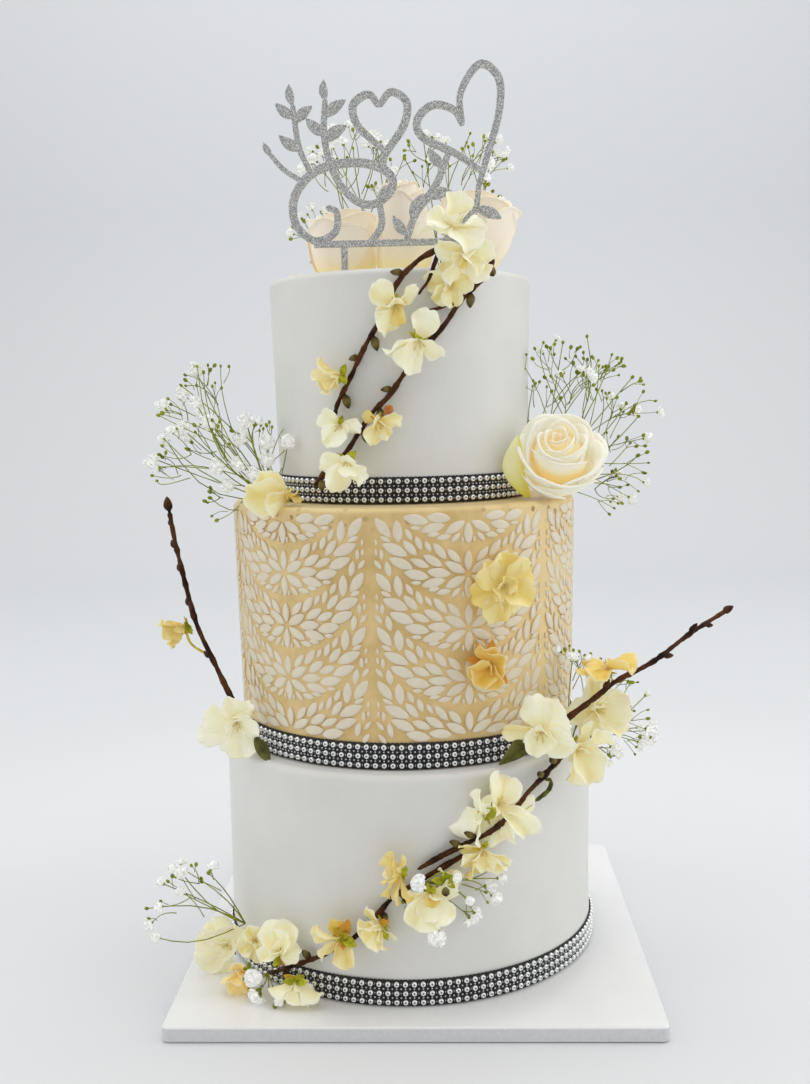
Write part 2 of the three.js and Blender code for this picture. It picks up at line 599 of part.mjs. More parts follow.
// ---------------------------------------------------------------- leaves
// A thin wavy leaf from its root, pointing along +Y with its face towards +Z.
function leafSolid({ length, width }, grow) {
  const wave = 0.08 * length;
  const leaf = new THREE.BoxGeometry(width, length, 0.8 + 2 * grow, 2, 4, 1);
  leaf.translate(0, length / 2, 0);
  return solidOf(
    reshaped(leaf, (x, y, z) => {
      const part = y / length;
      const narrow = 0.12 + 0.88 * Math.sin(Math.PI * (0.06 + 0.88 * part));
      return [x * narrow, y, z + wave * Math.sin(part * 2 * Math.PI) - Math.abs(x) * 0.25];
    }),
  );
}
const LEAVES = {
  leaf_left: { frame: placeAt([-49, 155, 113], { turn: 10, spin: -145 }), length: 18, width: 7 },
  leaf_right: { frame: placeAt([38.5, 160, 118], { turn: -10, spin: 128 }), length: 24, width: 9 },
  leaf_rose: { frame: placeAt([45, 294, 93], { turn: -30, tilt: -8, spin: 6 }), length: 33, width: 15 },
};
for (const [name, { frame, ...size }] of Object.entries(LEAVES)) {
  addPiece(name, LEAF_GREEN, frame, (grow) => leafSolid(size, grow));
}

// ---------------------------------------------------------------- baby's breath
// A three-sided stem from a point to its floret, turned in one piece.
function floretStem(from, to, thin, floret) {
  const along = to.clone().sub(from);
  const length = along.length();
  const turn = new THREE.Quaternion().setFromUnitVectors(
    new THREE.Vector3(0, 1, 0),
    along.clone().normalize(),
  );
  const profile = [
    [0, -thin], [thin, thin], [thin * 0.8, length - floret], [floret / 2, length - floret * 0.4], [0, length],
  ];
  const pin = new THREE.LatheGeometry(profile.map(([r, h]) => new THREE.Vector2(r, h)), 3);
  return solidOf(pin.applyMatrix4(new THREE.Matrix4().compose(from, turn, new THREE.Vector3(1, 1, 1))));
}

// A small repeatable sequence of numbers between 0 and 1.
function sequence(seed) {
  let state = seed;
  return () => {
    state = (state * 16807) % 2147483647;
    return state / 2147483647;
  };
}

// A spray: stems fan out from one root between two angles in the XZ plane. Each carries shoots
// on alternate sides, and every stem and shoot ends in a floret.
function breathSolid({ from, to, length, depth, stems, shoots = 2, seed }, grow) {
  const random = sequence(seed);
  const parts = [];
  const stem = (root, tip) => floretStem(root, tip, BREATH.stem + grow, BREATH.floret + 2 * grow);
  for (let i = 0; i < stems; i++) {
    const angle = radians(from + ((to - from) * i) / Math.max(stems - 1, 1));
    const reach = length * (0.8 + 0.25 * random());
    const back = depth * (random() - 0.5);
    const tip = new THREE.Vector3(Math.cos(angle) * reach, Math.sin(angle) * reach, back);
    parts.push(stem(new THREE.Vector3(-Math.cos(angle), -Math.sin(angle), 0).multiplyScalar(2), tip));
    for (let k = 0; k < shoots; k++) {
      const root = tip.clone().multiplyScalar(0.35 + 0.16 * k + 0.04 * random());
      const aside = angle + (k % 2 ? -1 : 1) * (0.35 + 0.25 * random());
      const far = reach * (0.5 - 0.06 * k);
      const swing = depth * 0.4 * (random() - 0.5);
      const end = root.clone().add(new THREE.Vector3(Math.cos(aside) * far, Math.sin(aside) * far, swing));
      parts.push(stem(root, end));
    }
  }
  return joined(parts);
}
const facingFront = (x, y, z) =>
  new THREE.Matrix4().makeTranslation(x, y, z).multiply(new THREE.Matrix4().makeRotationX(Math.PI / 2));
const SPRAYS = {
  breath_top_left: {
    frame: facingFront(-16, 22, CAKE_TOP + 1), from: 62, to: 136, length: 96, depth: 40, stems: 3, seed: 11,
  },
  breath_top_right: {
    frame: facingFront(30, 22, CAKE_TOP + 1), from: 48, to: 112, length: 102, depth: 40, stems: 3, seed: 23,
  },
  breath_left: {
    frame: facingFront(-76, -40, TOP_FOOT + 2), from: 78, to: 178, length: 82, depth: 44, stems: 3, seed: 37,
  },
  breath_right: {
    frame: facingFront(86, -12, TOP_FOOT + 2), from: 28, to: 98, length: 92, depth: 44, stems: 3, seed: 41,
  },
  breath_right_low: {
    frame: facingFront(100, -56, MIDDLE_FOOT + 2),
    from: -2, to: 78, length: 62, depth: 36, stems: 2, seed: 53,
  },
  breath_low_left: {
    frame: facingFront(-96, -84, BOARD_TOP + 14),
    from: 112, to: 172, length: 64, depth: 22, stems: 2, seed: 61,
  },
  breath_low_centre: {
    frame: placeAt([7, 86, 124]), from: -78, to: 6, length: 40, depth: 10, stems: 2, shoots: 1, seed: 71,
  },
  breath_low_front: {
    frame: placeAt([-38, 22, 131]), from: 236, to: 276, length: 12, depth: 4, stems: 1, shoots: 1, seed: 83,
  },
};
for (const [name, { frame, ...spray }] of Object.entries(SPRAYS)) {
  addPiece(name, WHITE_FLORET, frame, (grow) => breathSolid(spray, grow));
}

export default cake;
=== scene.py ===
"""A three-tier wedding cake on its board, dressed around its CAD frame.

Every shape is worked out in millimetres and goes into its mesh in metres. +Z is up, the front is
towards -Y, and the origin is on the cake's axis, on the underside of the board. A place on the
cake is [azimuth, height, distance from the axis]; azimuth 0 is the front and grows towards +X.
"""

from typing import NamedTuple

import bpy
import numpy as np
from mathutils import Matrix


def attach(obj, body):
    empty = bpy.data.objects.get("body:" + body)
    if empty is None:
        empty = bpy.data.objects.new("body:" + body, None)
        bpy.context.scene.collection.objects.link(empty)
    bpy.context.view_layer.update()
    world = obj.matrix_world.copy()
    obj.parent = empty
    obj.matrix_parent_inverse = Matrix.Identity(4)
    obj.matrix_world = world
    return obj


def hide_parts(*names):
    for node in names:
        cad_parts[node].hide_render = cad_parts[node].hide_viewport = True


bl_info = {
    "name": "Tiered Wedding Cake",
    "version": (1, 0, 0),
    "blender": (4, 5, 0),
    "location": "View3D > Sidebar > Cake",
    "description": "Sugar-paste tiers with a stencilled relief, beaded ribbons and wired blossom",
    "category": "Add Mesh",
}

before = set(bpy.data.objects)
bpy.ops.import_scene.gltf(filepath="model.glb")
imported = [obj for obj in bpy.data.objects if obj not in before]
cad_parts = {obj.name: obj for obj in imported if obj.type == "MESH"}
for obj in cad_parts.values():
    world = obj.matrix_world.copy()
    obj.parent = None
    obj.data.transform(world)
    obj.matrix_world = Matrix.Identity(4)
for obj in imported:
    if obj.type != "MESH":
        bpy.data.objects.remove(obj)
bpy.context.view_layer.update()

MM = 0.001  # metres in a millimetre
GAP = 0.3  # between two pieces that rest on one another
BOARD_TOP = 9.0
BOTTOM_FOOT = BOARD_TOP + GAP
MIDDLE_FOOT = BOTTOM_FOOT + 133.6 + GAP
TOP_FOOT = MIDDLE_FOOT + 148.2 + GAP
CAKE_TOP = TOP_FOOT + 133.2
FULL_TURN = 2 * np.pi


# ------------------------------------------------------------------ sizes and colours
class CakeSizes(bpy.types.PropertyGroup):
    """Sizes that a decorator would change, in metres."""

    relief: bpy.props.FloatProperty(
        name="Relief", description="How far the leaves stand off the gold tier",
        default=0.0009, unit="LENGTH",
    )
    bead_pitch: bpy.props.FloatProperty(
        name="Bead pitch", description="Distance between beads along a ribbon",
        default=0.005, unit="LENGTH",
    )
    petal: bpy.props.FloatProperty(
        name="Petal thickness", description="Thickness of a silk petal",
        default=0.00045, unit="LENGTH",
    )
    stem: bpy.props.FloatProperty(
        name="Spray stem", description="Radius of a baby's breath stem",
        default=0.00042, unit="LENGTH",
    )


def colour(name, description, default):
    """A colour property."""
    return bpy.props.FloatVectorProperty(
        name=name, description=description, default=default, subtype="COLOR", size=3
    )


class CakeColours(bpy.types.PropertyGroup):
    """Colours that a decorator would change."""

    paste: colour("Paste", "White sugar paste", (0.80, 0.80, 0.765))
    gold: colour("Gold", "Ground of the middle tier", (0.84, 0.63, 0.295))
    relief: colour("Relief", "Leaves of the middle tier", (0.85, 0.775, 0.62))
    silk: colour("Silk", "Cream blossom", (0.80, 0.665, 0.20))
    throat: colour("Throat", "Middle of a blossom", (0.78, 0.55, 0.09))
    rose: colour("Rose", "Edge of a rose petal", (0.93, 0.915, 0.81))
    bark: colour("Bark", "Twigs", (0.011, 0.0045, 0.0022))
    glitter: colour("Glitter", "Cut-out topper", (0.50, 0.50, 0.49))


# ------------------------------------------------------------------ surfaces
def unit(vectors):
    """Vectors scaled to length one."""
    return vectors / np.maximum(np.linalg.norm(vectors, axis=-1, keepdims=True), 1e-9)


class Patch:
    """Points, faces of three or four corners, the masks carried by the points, and a finish."""

    def __init__(self, points, faces, finish=0, **masks):
        self.points, self.faces, self.finish, self.masks = points, faces, finish, masks


def skin(rings, finish=0, flat_ends=False, **masks):
    """Closed surfaces through rings given as [copy, row, column, xyz].

    Neighbouring rows join by four-sided faces, and a row's last column joins its first. Each end
    closes to the middle of its ring, or across from side to side where flat_ends is set.
    """
    rings = np.asarray(rings, float)
    rings = rings.reshape(-1, *rings.shape[-3:])
    copies, rows, cols = rings.shape[:3]
    ends = np.stack([rings[:, 0].mean(1), rings[:, -1].mean(1)], 1)
    grid = rings.reshape(copies, -1, 3)
    points = grid if flat_ends else np.concatenate([grid, ends], 1)
    row, col = np.arange(rows - 1)[:, None] * cols, np.arange(cols)[None]
    following = (col + 1) % cols
    faces = [
        np.stack([row + col, row + following, row + cols + following, row + cols + col], -1)
        .reshape(-1, 4)
    ]
    last = (rows - 1) * cols
    if flat_ends:
        near = np.arange(cols // 2 - 1)
        lid = np.stack([near, near + 1, cols - 2 - near, cols - 1 - near], -1)
        faces += [lid[:, ::-1], lid + last]
    else:
        col, following = col[0], following[0]
        middle = np.full(cols, rows * cols)
        faces += [
            np.stack([middle, following, col], -1),
            np.stack([middle + 1, last + col, last + following], -1),
        ]
    first = points[0]
    volume = 0.0
    for face in faces:
        for k in range(1, face.shape[1] - 1):
            a, b, c = first[face[:, 0]], first[face[:, k]], first[face[:, k + 1]]
            volume += (a * np.cross(b, c)).sum()
    if volume < 0:
        faces = [face[:, ::-1] for face in faces]
    step = np.arange(copies)[:, None, None] * points.shape[1]
    faces = [(face[None] + step).reshape(-1, face.shape[1]) for face in faces]
    spread = {}
    for name, mask in masks.items():
        mask = np.broadcast_to(np.asarray(mask, float), rings.shape[:3])
        if not flat_ends:
            closing = np.stack([mask[:, 0].mean(1), mask[:, -1].mean(1)], 1)
            mask = np.concatenate([mask.reshape(copies, -1), closing], 1)
        spread[name] = mask.ravel()
    return Patch(points.reshape(-1, 3), faces, finish, **spread)


def whole_turn(count):
    """Evenly spaced angles once round."""
    return np.linspace(0, FULL_TURN, count, endpoint=False)


def about_axis(out, turn, up):
    """Points at distances from the axis, turned from the front, at heights."""
    return np.stack(np.broadcast_arrays(out * np.sin(turn), -out * np.cos(turn), up), -1)


def turned(profile, sides):
    """Rings of a profile, given as [radius, height] rows, carried round the axis."""
    radius, height = np.asarray(profile, float).T[..., None]
    return about_axis(radius, whole_turn(sides), height)


def smooth_path(points, steps):
    """A Catmull-Rom line through the points, with so many steps from each to the next."""
    points = np.asarray(points, float)
    padded = np.vstack([2 * points[0] - points[1], points, 2 * points[-1] - points[-2]])
    a, b, c, d = (padded[k : len(padded) - 3 + k, None] for k in range(4))
    t = np.linspace(0, 1, steps, endpoint=False)[:, None]
    line = 0.5 * (
        2 * b + (c - a) * t + (2 * a - 5 * b + 4 * c - d) * t**2 + (3 * b - a - 3 * c + d) * t**3
    )
    return np.vstack([line.reshape(-1, points.shape[1]), points[-1]])


def tube(paths, radius, sides, hint=(0.31, 0.83, 0.46)):
    """Rings of a radius across paths given as [copy, row, xyz].

    Each ring lies across its path's direction, and its first point is set by the hint.
    """
    paths = np.asarray(paths, float)
    along = unit(np.gradient(paths, axis=-2))
    side = unit(np.cross(along, np.asarray(hint, float)))
    other = np.cross(along, side)
    turn = whole_turn(sides)
    radius = np.asarray(radius, float)[..., None, None]
    spokes = side[..., None, :] * np.cos(turn)[:, None]
    spokes = spokes + other[..., None, :] * np.sin(turn)[:, None]
    return paths[..., None, :] + radius * spokes


def thin_sheet(middle, thick, finish=0, **masks):
    """A closed sheet about middle surfaces [copy, row, column, xyz], thinner at its two sides."""
    across = np.gradient(middle, axis=-2)
    normal = unit(np.cross(np.gradient(middle, axis=-3), across))
    part = np.linspace(-1, 1, middle.shape[-2])
    half = thick / 2 * (1 - 0.6 * part**4)[:, None]
    rings = np.concatenate([middle + normal * half, (middle - normal * half)[..., ::-1, :]], -2)
    doubled = {}
    for name, mask in masks.items():
        mask = np.broadcast_to(np.asarray(mask, float), middle.shape[:-1])
        doubled[name] = np.concatenate([mask, mask[..., ::-1]], -1)
    return skin(rings, finish, flat_ends=True, **doubled)


def place_points(places):
    """The points of [azimuth, height, out] rows."""
    azimuth, height, out = np.asarray(places, float).T
    return about_axis(out, np.radians(azimuth), height)


def axes_of(normal, hint=(0.0, 0.0, 1.0)):
    """Three unit axes as rows: across, up and the given normal, with up nearest to the hint."""
    normal = unit(np.asarray(normal, float))
    across = unit(np.cross(np.asarray(hint, float), normal))
    return np.stack([across, np.cross(normal, across), normal], -2)


def view_direction(angle, lift):
    """A direction from its angle in the front view and its lift towards the front, in degrees."""
    angle, lift = np.radians(angle), np.radians(lift)
    return np.stack(
        [np.cos(angle) * np.cos(lift), -np.sin(lift), np.sin(angle) * np.cos(lift)], -1
    )


def unevenness(points, size, seed=0):
    """A smooth number from -1 to 1 over space: three crossed sine waves of about the given size."""
    rng = np.random.default_rng(seed)
    total = 0
    for share in (1.0, 0.6, 0.4):
        wave = rng.normal(size=3) / size
        total = total + share * np.sin(points @ wave * FULL_TURN * 0.6 + rng.uniform(0, FULL_TURN))
    return total / 2


# ------------------------------------------------------------------ pieces
def add_piece(name, patches, finishes, replaces=(), smooth=True):
    """Joins patches into one mesh, in metres, which rides on the cake's body.

    A patch's finish is its place in the tuple of finishes.
    """
    points = np.concatenate([patch.points for patch in patches]) * MM
    faces, paints, start = [], [], 0
    for patch in patches:
        for block in patch.faces:
            faces += (block + start).tolist()
            paints += [patch.finish] * len(block)
        start += len(patch.points)
    mesh = bpy.data.meshes.new(name)
    mesh.from_pydata(points, [], faces)
    mesh.polygons.foreach_set("material_index", paints)
    mesh.polygons.foreach_set("use_smooth", [smooth] * len(faces))
    for mask in sorted({mask for patch in patches for mask in patch.masks}):
        values = np.concatenate(
            [patch.masks.get(mask, np.zeros(len(patch.points))) for patch in patches]
        )
        mesh.attributes.new(mask, "FLOAT", "POINT").data.foreach_set("value", values)
    for finish in finishes:
        mesh.materials.append(finish_called(finish))
    mesh.update()
    piece = bpy.data.objects.new(name, mesh)
    bpy.context.scene.collection.objects.link(piece)
    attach(piece, "root")
    if replaces:
        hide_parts(*replaces)


# ------------------------------------------------------------------ shader nodes
def add_node(tree, kind, inputs=None, **settings):
    """A node with its settings; an input takes a number or colour, or another node's socket."""
    node = tree.nodes.new(kind)
    for key, value in settings.items():
        setattr(node, key, value)
    for key, value in (inputs or {}).items():
        if isinstance(value, bpy.types.NodeSocket):
            tree.links.new(value, node.inputs[key])
        else:
            node.inputs[key].default_value = value
    return node


def scalar(tree, operation, first, second=0.0, third=0.0, clamp=False):
    """The result of a Math node."""
    inputs = {0: first, 1: second, 2: third}
    node = add_node(tree, "ShaderNodeMath", inputs, operation=operation, use_clamp=clamp)
    return node.outputs[0]


def product(tree, first, second, clamp=False):
    """Two values multiplied."""
    return scalar(tree, "MULTIPLY", first, second, clamp=clamp)


def vector(tree, operation, inputs):
    """The result of a Vector Math node."""
    return add_node(tree, "ShaderNodeVectorMath", inputs, operation=operation).outputs[0]


def position(tree):
    """Object coordinates."""
    return add_node(tree, "ShaderNodeTexCoord").outputs["Object"]


def coordinate(tree, axis):
    """One of the three Object coordinates, in metres."""
    return add_node(tree, "ShaderNodeSeparateXYZ", {0: position(tree)}).outputs[axis]


def tinted(base, factors, most=(1.0, 1.0, 1.0)):
    """A colour with each channel multiplied by a factor, up to a highest value."""
    return tuple(min(c * f, m) for c, f, m in zip(base, factors, most))


def blended(tree, factor, first, second):
    """A colour mixed from two by a factor."""
    opaque = [c if isinstance(c, bpy.types.NodeSocket) else (*c, 1.0) for c in (first, second)]
    node = add_node(
        tree, "ShaderNodeMix", {"Factor": factor, 6: opaque[0], 7: opaque[1]}, data_type="RGBA"
    )
    return node.outputs[2]


def carried(tree, mask):
    """A mask that the mesh carries."""
    return add_node(tree, "ShaderNodeAttribute", attribute_name=mask).outputs["Fac"]


def ramped(tree, factor, low, high):
    """0 below low, 1 above high and a smooth step between."""
    node = add_node(
        tree, "ShaderNodeMapRange", {"Value": factor, "From Min": low, "From Max": high},
        interpolation_type="SMOOTHSTEP",
    )
    return node.outputs[0]


def effect_group(name, inputs, outputs):
    """An empty shader group with named sockets."""
    group = bpy.data.node_groups.new(name, "ShaderNodeTree")
    for label, default in inputs.items():
        socket = group.interface.new_socket(label, in_out="INPUT", socket_type="NodeSocketFloat")
        socket.default_value = default
    for label in outputs:
        group.interface.new_socket(label, in_out="OUTPUT", socket_type="NodeSocketFloat")
    return group, group.nodes.new("NodeGroupInput"), group.nodes.new("NodeGroupOutput")


def mottle_group():
    """Broad mottling and a fine grain over the object, each from 0 to 1."""
    group, given, result = effect_group(
        "Mottle and grain", {"Broad": 40.0, "Fine": 900.0, "Roughness": 0.55}, ("Mottle", "Grain")
    )
    where = position(group)
    for label, size, detail in (("Mottle", "Broad", 3.0), ("Grain", "Fine", 4.0)):
        noise = add_node(
            group, "ShaderNodeTexNoise",
            {"Vector": where, "Scale": given.outputs[size], "Detail": detail,
             "Roughness": given.outputs["Roughness"]},
        )
        level = ramped(group, noise.outputs["Fac"], 0.28, 0.72)
        group.links.new(level, result.inputs[label])
    return group


def fleck_group():
    """Flecks over the object: 1 in the share of cells that are picked, fading at their edge."""
    group, given, result = effect_group("Flecks", {"Scale": 500.0, "Share": 0.2}, ("Fleck",))
    inputs = {"Vector": position(group), "Scale": given.outputs["Scale"]}
    cells = add_node(group, "ShaderNodeTexVoronoi", inputs)
    level = add_node(group, "ShaderNodeSeparateColor", {"Color": cells.outputs["Color"]}).outputs[0]
    picked = scalar(group, "LESS_THAN", level, given.outputs["Share"])
    near = scalar(group, "SUBTRACT", 1.0, ramped(group, cells.outputs["Distance"], 0.25, 0.45))
    group.links.new(product(group, picked, near), result.inputs["Fleck"])
    return group


FINISHES, MADE = {}, {}


def listed(maker):
    """Lists a function that makes a finish under its own name."""
    FINISHES[maker.__name__] = maker
    return maker


def finish_called(name):
    """The material of that name, made when it is first asked for."""
    if name not in MADE:
        MADE[name] = FINISHES[name]()
    return MADE[name]


def chosen(name):
    """A colour as it is set in the panel."""
    return tuple(getattr(bpy.context.scene.cake_colours, name))


def new_finish(name, **values):
    """A material with its shader's own values set, and its tree."""
    material = bpy.data.materials.new(name)
    material.use_nodes = True
    tree = material.node_tree
    for key, value in values.items():
        tree.nodes["Principled BSDF"].inputs[key.replace("_", " ")].default_value = value
    return material, tree


def shared(tree, name, build, inputs):
    """A shared effect placed in a material."""
    made = bpy.data.node_groups.get(name) or build()
    return add_node(tree, "ShaderNodeGroup", inputs, node_tree=made)


def mottled(tree, broad, fine):
    """The shared mottling and grain, for features of two sizes in millimetres."""
    sizes = {"Broad": 1000 / broad, "Fine": 1000 / fine}
    node = shared(tree, "Mottle and grain", mottle_group, sizes)
    return node.outputs["Mottle"], node.outputs["Grain"]


def dress(material, base, height=None, depth=0.0, **sockets):
    """Joins the base colour, a bump of a depth in millimetres, and any more inputs by name."""
    tree = material.node_tree
    inputs = tree.nodes["Principled BSDF"].inputs
    tree.links.new(base, inputs["Base Color"])
    if height is not None:
        given = {"Height": height, "Distance": depth * MM, "Strength": 1.0}
        tree.links.new(add_node(tree, "ShaderNodeBump", given).outputs[0], inputs["Normal"])
    for key, socket in sockets.items():
        tree.links.new(socket, inputs[key.replace("_", " ")])
    return material


def plain(name, sizes, low, high, depth, grained=False, stain=None, **values):
    """A finish mottled, or grained, between two colours and stained where it is warm."""
    material, tree = new_finish(name, **values)
    mottle, grain = mottled(tree, *sizes)
    base = blended(tree, grain if grained else mottle, low, high)
    if stain:
        base = blended(tree, carried(tree, "warmth"), base, stain)
    return dress(material, base, grain if depth else None, depth)


@listed
def white_paste():
    """Satin sugar paste: faint smears of icing sugar and a skin of tiny pits."""
    material, tree = new_finish(
        "White sugar paste", Roughness=0.42, Subsurface_Weight=0.12, Subsurface_Scale=0.004,
    )
    mottle, grain = mottled(tree, 34, 1.1)
    white = chosen("paste")
    base = blended(tree, mottle, tinted(white, (0.955, 0.955, 0.955)), white)
    gloss = {"Value": mottle, "To Min": 0.36, "To Max": 0.5}
    rough = add_node(tree, "ShaderNodeMapRange", gloss).outputs[0]
    return dress(material, base, grain, 0.035, Roughness=rough)


@listed
def gold_paste():
    """Gold paste, brushed on unevenly, with brown dabs near the rim; painted light makes it paler
    to both sides and along the rim's left part.
    """
    material, tree = new_finish(
        "Gold sugar paste", Roughness=0.42, Sheen_Weight=0.3, Sheen_Roughness=0.4,
        Sheen_Tint=(1.0, 0.86, 0.62, 1.0),
    )
    mottle, grain = mottled(tree, 16, 0.7)
    gold = chosen("gold")
    pale = tinted(gold, (1.06, 1.14, 1.25))
    base = blended(tree, mottle, tinted(gold, (0.80, 0.76, 0.62)), gold)
    # Painted light: the wall grows paler towards both sides, most to the right, where the side
    # lights fall.
    across, rim = coordinate(tree, "X"), carried(tree, "rim")
    right = product(tree, ramped(tree, across, 0.03, 0.1), 0.8)
    left = product(tree, ramped(tree, across, -0.05, -0.1), 0.45)
    wall = scalar(tree, "SUBTRACT", 1.0, rim)
    light = product(tree, scalar(tree, "MAXIMUM", right, left), wall)
    base = blended(tree, light, base, pale)
    # Painted highlight: the top of the rim is paler on the left, fading out just right of the
    # middle.
    base = blended(tree, product(tree, rim, ramped(tree, across, 0.07, -0.04)), base, pale)
    flecks = shared(tree, "Flecks", fleck_group, {"Scale": 210.0, "Share": 0.35})
    dab = product(tree, flecks.outputs["Fleck"], carried(tree, "dabs"))
    dab = product(tree, dab, mottle, clamp=True)
    base = blended(tree, dab, base, (0.33, 0.17, 0.045))
    return dress(material, base, grain, 0.06)


@listed
def relief_icing():
    """White icing leaves with a gold-tan rim painted as shade, and a smoothed, slightly pitted
    face.
    """
    material, tree = new_finish(
        "Relief icing", Roughness=0.5, Sheen_Weight=0.3, Sheen_Roughness=0.4,
        Sheen_Tint=(1.0, 0.93, 0.8, 1.0),
    )
    mottle, grain = mottled(tree, 7, 0.5)
    white = chosen("relief")
    base = blended(tree, mottle, tinted(white, (0.95, 0.93, 0.88)), white)
    # Painted shade: the leaf's walls, shoulders and ends turn to a dimmed gold.
    edge = ramped(tree, carried(tree, "edge"), 0.25, 1.0)
    base = blended(tree, edge, base, tinted(chosen("gold"), (0.92, 0.86, 0.8)))
    return dress(material, base, grain, 0.05)


@listed
def board_paper():
    """White wrapping with a faint embossed grain, and painted shade that greys its side."""
    material, tree = new_finish("Board wrapping", Roughness=0.2)
    mottle, grain = mottled(tree, 60, 1.6)
    top = blended(tree, mottle, (0.90, 0.90, 0.90), (0.94, 0.94, 0.94))
    # Painted shade: the side below the top edge is a cool grey, the top stays white.
    side = blended(tree, grain, (0.66, 0.665, 0.68), (0.72, 0.725, 0.74))
    height = coordinate(tree, "Z")
    level = ramped(tree, height, (BOARD_TOP - 1.2) * MM, (BOARD_TOP - 0.2) * MM)
    return dress(material, blended(tree, level, side, top), grain, 0.02)


@listed
def ribbon_net():
    """Black net: a coarse grain from black to grey."""
    return plain("Ribbon net", (3, 0.8), (0.004, 0.004, 0.005), (0.018, 0.018, 0.02), 0.3,
                 grained=True, Roughness=0.6)


@listed
def bead_silver():
    """Mirror-bright silvered studs, with a painted dark reflection on each dome's crown, and duller
    small beads.
    """
    material, tree = new_finish("Bead silver", Roughness=0.12, Metallic=0.85)
    mottle = mottled(tree, 6, 1.2)[0]
    bright = blended(tree, mottle, (0.90, 0.91, 0.92), (0.96, 0.97, 0.98))
    # Painted reflection: each dome's crown is dark; the small beads are duller.
    base = blended(tree, carried(tree, "hollow"), bright, (0.07, 0.065, 0.06))
    return dress(material, base)


@listed
def silver_glitter():
    """Silver glitter: flakes a third of a millimetre wide, each turned its own way."""
    material, tree = new_finish("Silver glitter", Roughness=0.34, Metallic=0.55)
    inputs = {"Vector": position(tree), "Scale": 2600.0}
    flake = add_node(tree, "ShaderNodeTexVoronoi", inputs).outputs["Color"]
    level = add_node(tree, "ShaderNodeSeparateColor", {"Color": flake}).outputs[0]
    dark, light = (tinted(chosen("glitter"), (f, f, f)) for f in (0.62, 1.7))
    centred = vector(tree, "SUBTRACT", {0: flake, 1: (0.5, 0.5, 0.5)})
    tilt = vector(tree, "SCALE", {0: centred, "Scale": 0.75})
    normal = add_node(tree, "ShaderNodeNewGeometry").outputs["Normal"]
    facing = vector(tree, "NORMALIZE", {0: vector(tree, "ADD", {0: normal, 1: tilt})})
    base = blended(tree, ramped(tree, level, 0.3, 1.0), dark, light)
    return dress(material, base, Normal=facing)


@listed
def twig_bark():
    """Dark bark, red-brown in stretches that are partly its own colour and partly painted
    highlight, with pale painted glints.
    """
    material, tree = new_finish("Twig bark", Roughness=0.38, Specular_IOR_Level=0.12)
    mottle, grain = mottled(tree, 11, 0.7)
    bark = chosen("bark")
    # Partly painted highlight: red-brown where the mottle is high.
    base = blended(tree, mottle, bark, tinted(bark, (7.5, 4.6, 1.6)))
    # Painted glints: pale flecks where grain and mottle are both high.
    painted_glint = product(tree, product(tree, grain, mottle), 0.35)
    base = blended(tree, painted_glint, base, (0.30, 0.15, 0.06))
    return dress(material, base, grain, 0.22)


@listed
def twig_bud():
    """Closed buds: brown at both ends, olive on the scales and paler in the middle."""
    material, tree = new_finish("Twig bud", Roughness=0.45, Specular_IOR_Level=0.15)
    mottle, grain = mottled(tree, 3, 0.5)
    along = carried(tree, "along")
    scales = blended(tree, mottle, (0.065, 0.048, 0.010), (0.15, 0.115, 0.028))
    middle = product(tree, ramped(tree, along, 0.3, 0.5), ramped(tree, along, 0.9, 0.6))
    scales = blended(tree, product(tree, middle, 0.4), scales, (0.33, 0.26, 0.10))
    ends = product(tree, ramped(tree, along, 0.08, 0.35), ramped(tree, along, 1.0, 0.85))
    return dress(material, blended(tree, ends, (0.03, 0.016, 0.008), scales), grain, 0.15)


@listed
def orange_bud():
    """A closed orange bud, redder in blotches."""
    return plain("Orange bud", (3, 0.5), (0.42, 0.10, 0.012), (0.66, 0.24, 0.04), 0.1,
                 Roughness=0.5)


def petal_finish(name, pale, middle, deep, glow, veins):
    """Petal cloth: its own deep yellow at the root, painted shade there and in folds, pale towards
    the edge, with fine veins.

    A painted glow stands for the light that falls through the cloth, most at the root.
    """
    material, tree = new_finish(
        name, Roughness=0.62, Sheen_Weight=0.1, Subsurface_Weight=0.25,
        Subsurface_Scale=0.002, Subsurface_Radius=(1.0, 0.8, 0.45), Emission_Strength=1.0,
    )
    mottle, grain = mottled(tree, 9, 0.35)
    along, warmth = carried(tree, "along"), carried(tree, "warmth")
    # Painted shade and light: the middle colour in valleys and near the root, the pale one on
    # crests further out.
    crests = ramped(tree, carried(tree, "fold"), 0.85, 0.35)
    light = product(tree, crests, ramped(tree, along, 0.12, 0.62))
    base = blended(tree, light, middle, pale)
    # Deep at the root: the throat's own yellow, partly painted shade.
    base = blended(tree, ramped(tree, along, 0.34, 0.03), base, deep)
    lines = scalar(tree, "SINE", product(tree, carried(tree, "across"), 30.0))
    lines = scalar(tree, "MULTIPLY_ADD", lines, 0.5, 0.5)
    warm = scalar(tree, "ADD", product(tree, mottle, 0.12), product(tree, lines, 0.12 * veins))
    base = blended(tree, warm, base, middle)
    base = blended(tree, warmth, base, deep)
    rim = product(tree, carried(tree, "edge"), ramped(tree, warmth, 0.7, 0.05))
    edge = tuple(c + (1 - c) * 0.55 for c in pale)
    base = blended(tree, product(tree, rim, 0.75), base, edge)
    # Painted glow: faint all over, and stronger at the root and where the petal is warm.
    lit = scalar(tree, "MAXIMUM", warmth, ramped(tree, along, 0.4, 0.0))
    glow = blended(tree, lit, tinted(pale, (0.13, 0.13, 0.13)), glow)
    height = scalar(tree, "ADD", product(tree, lines, veins), grain)
    return dress(material, base, height, 0.09, Emission_Color=glow)


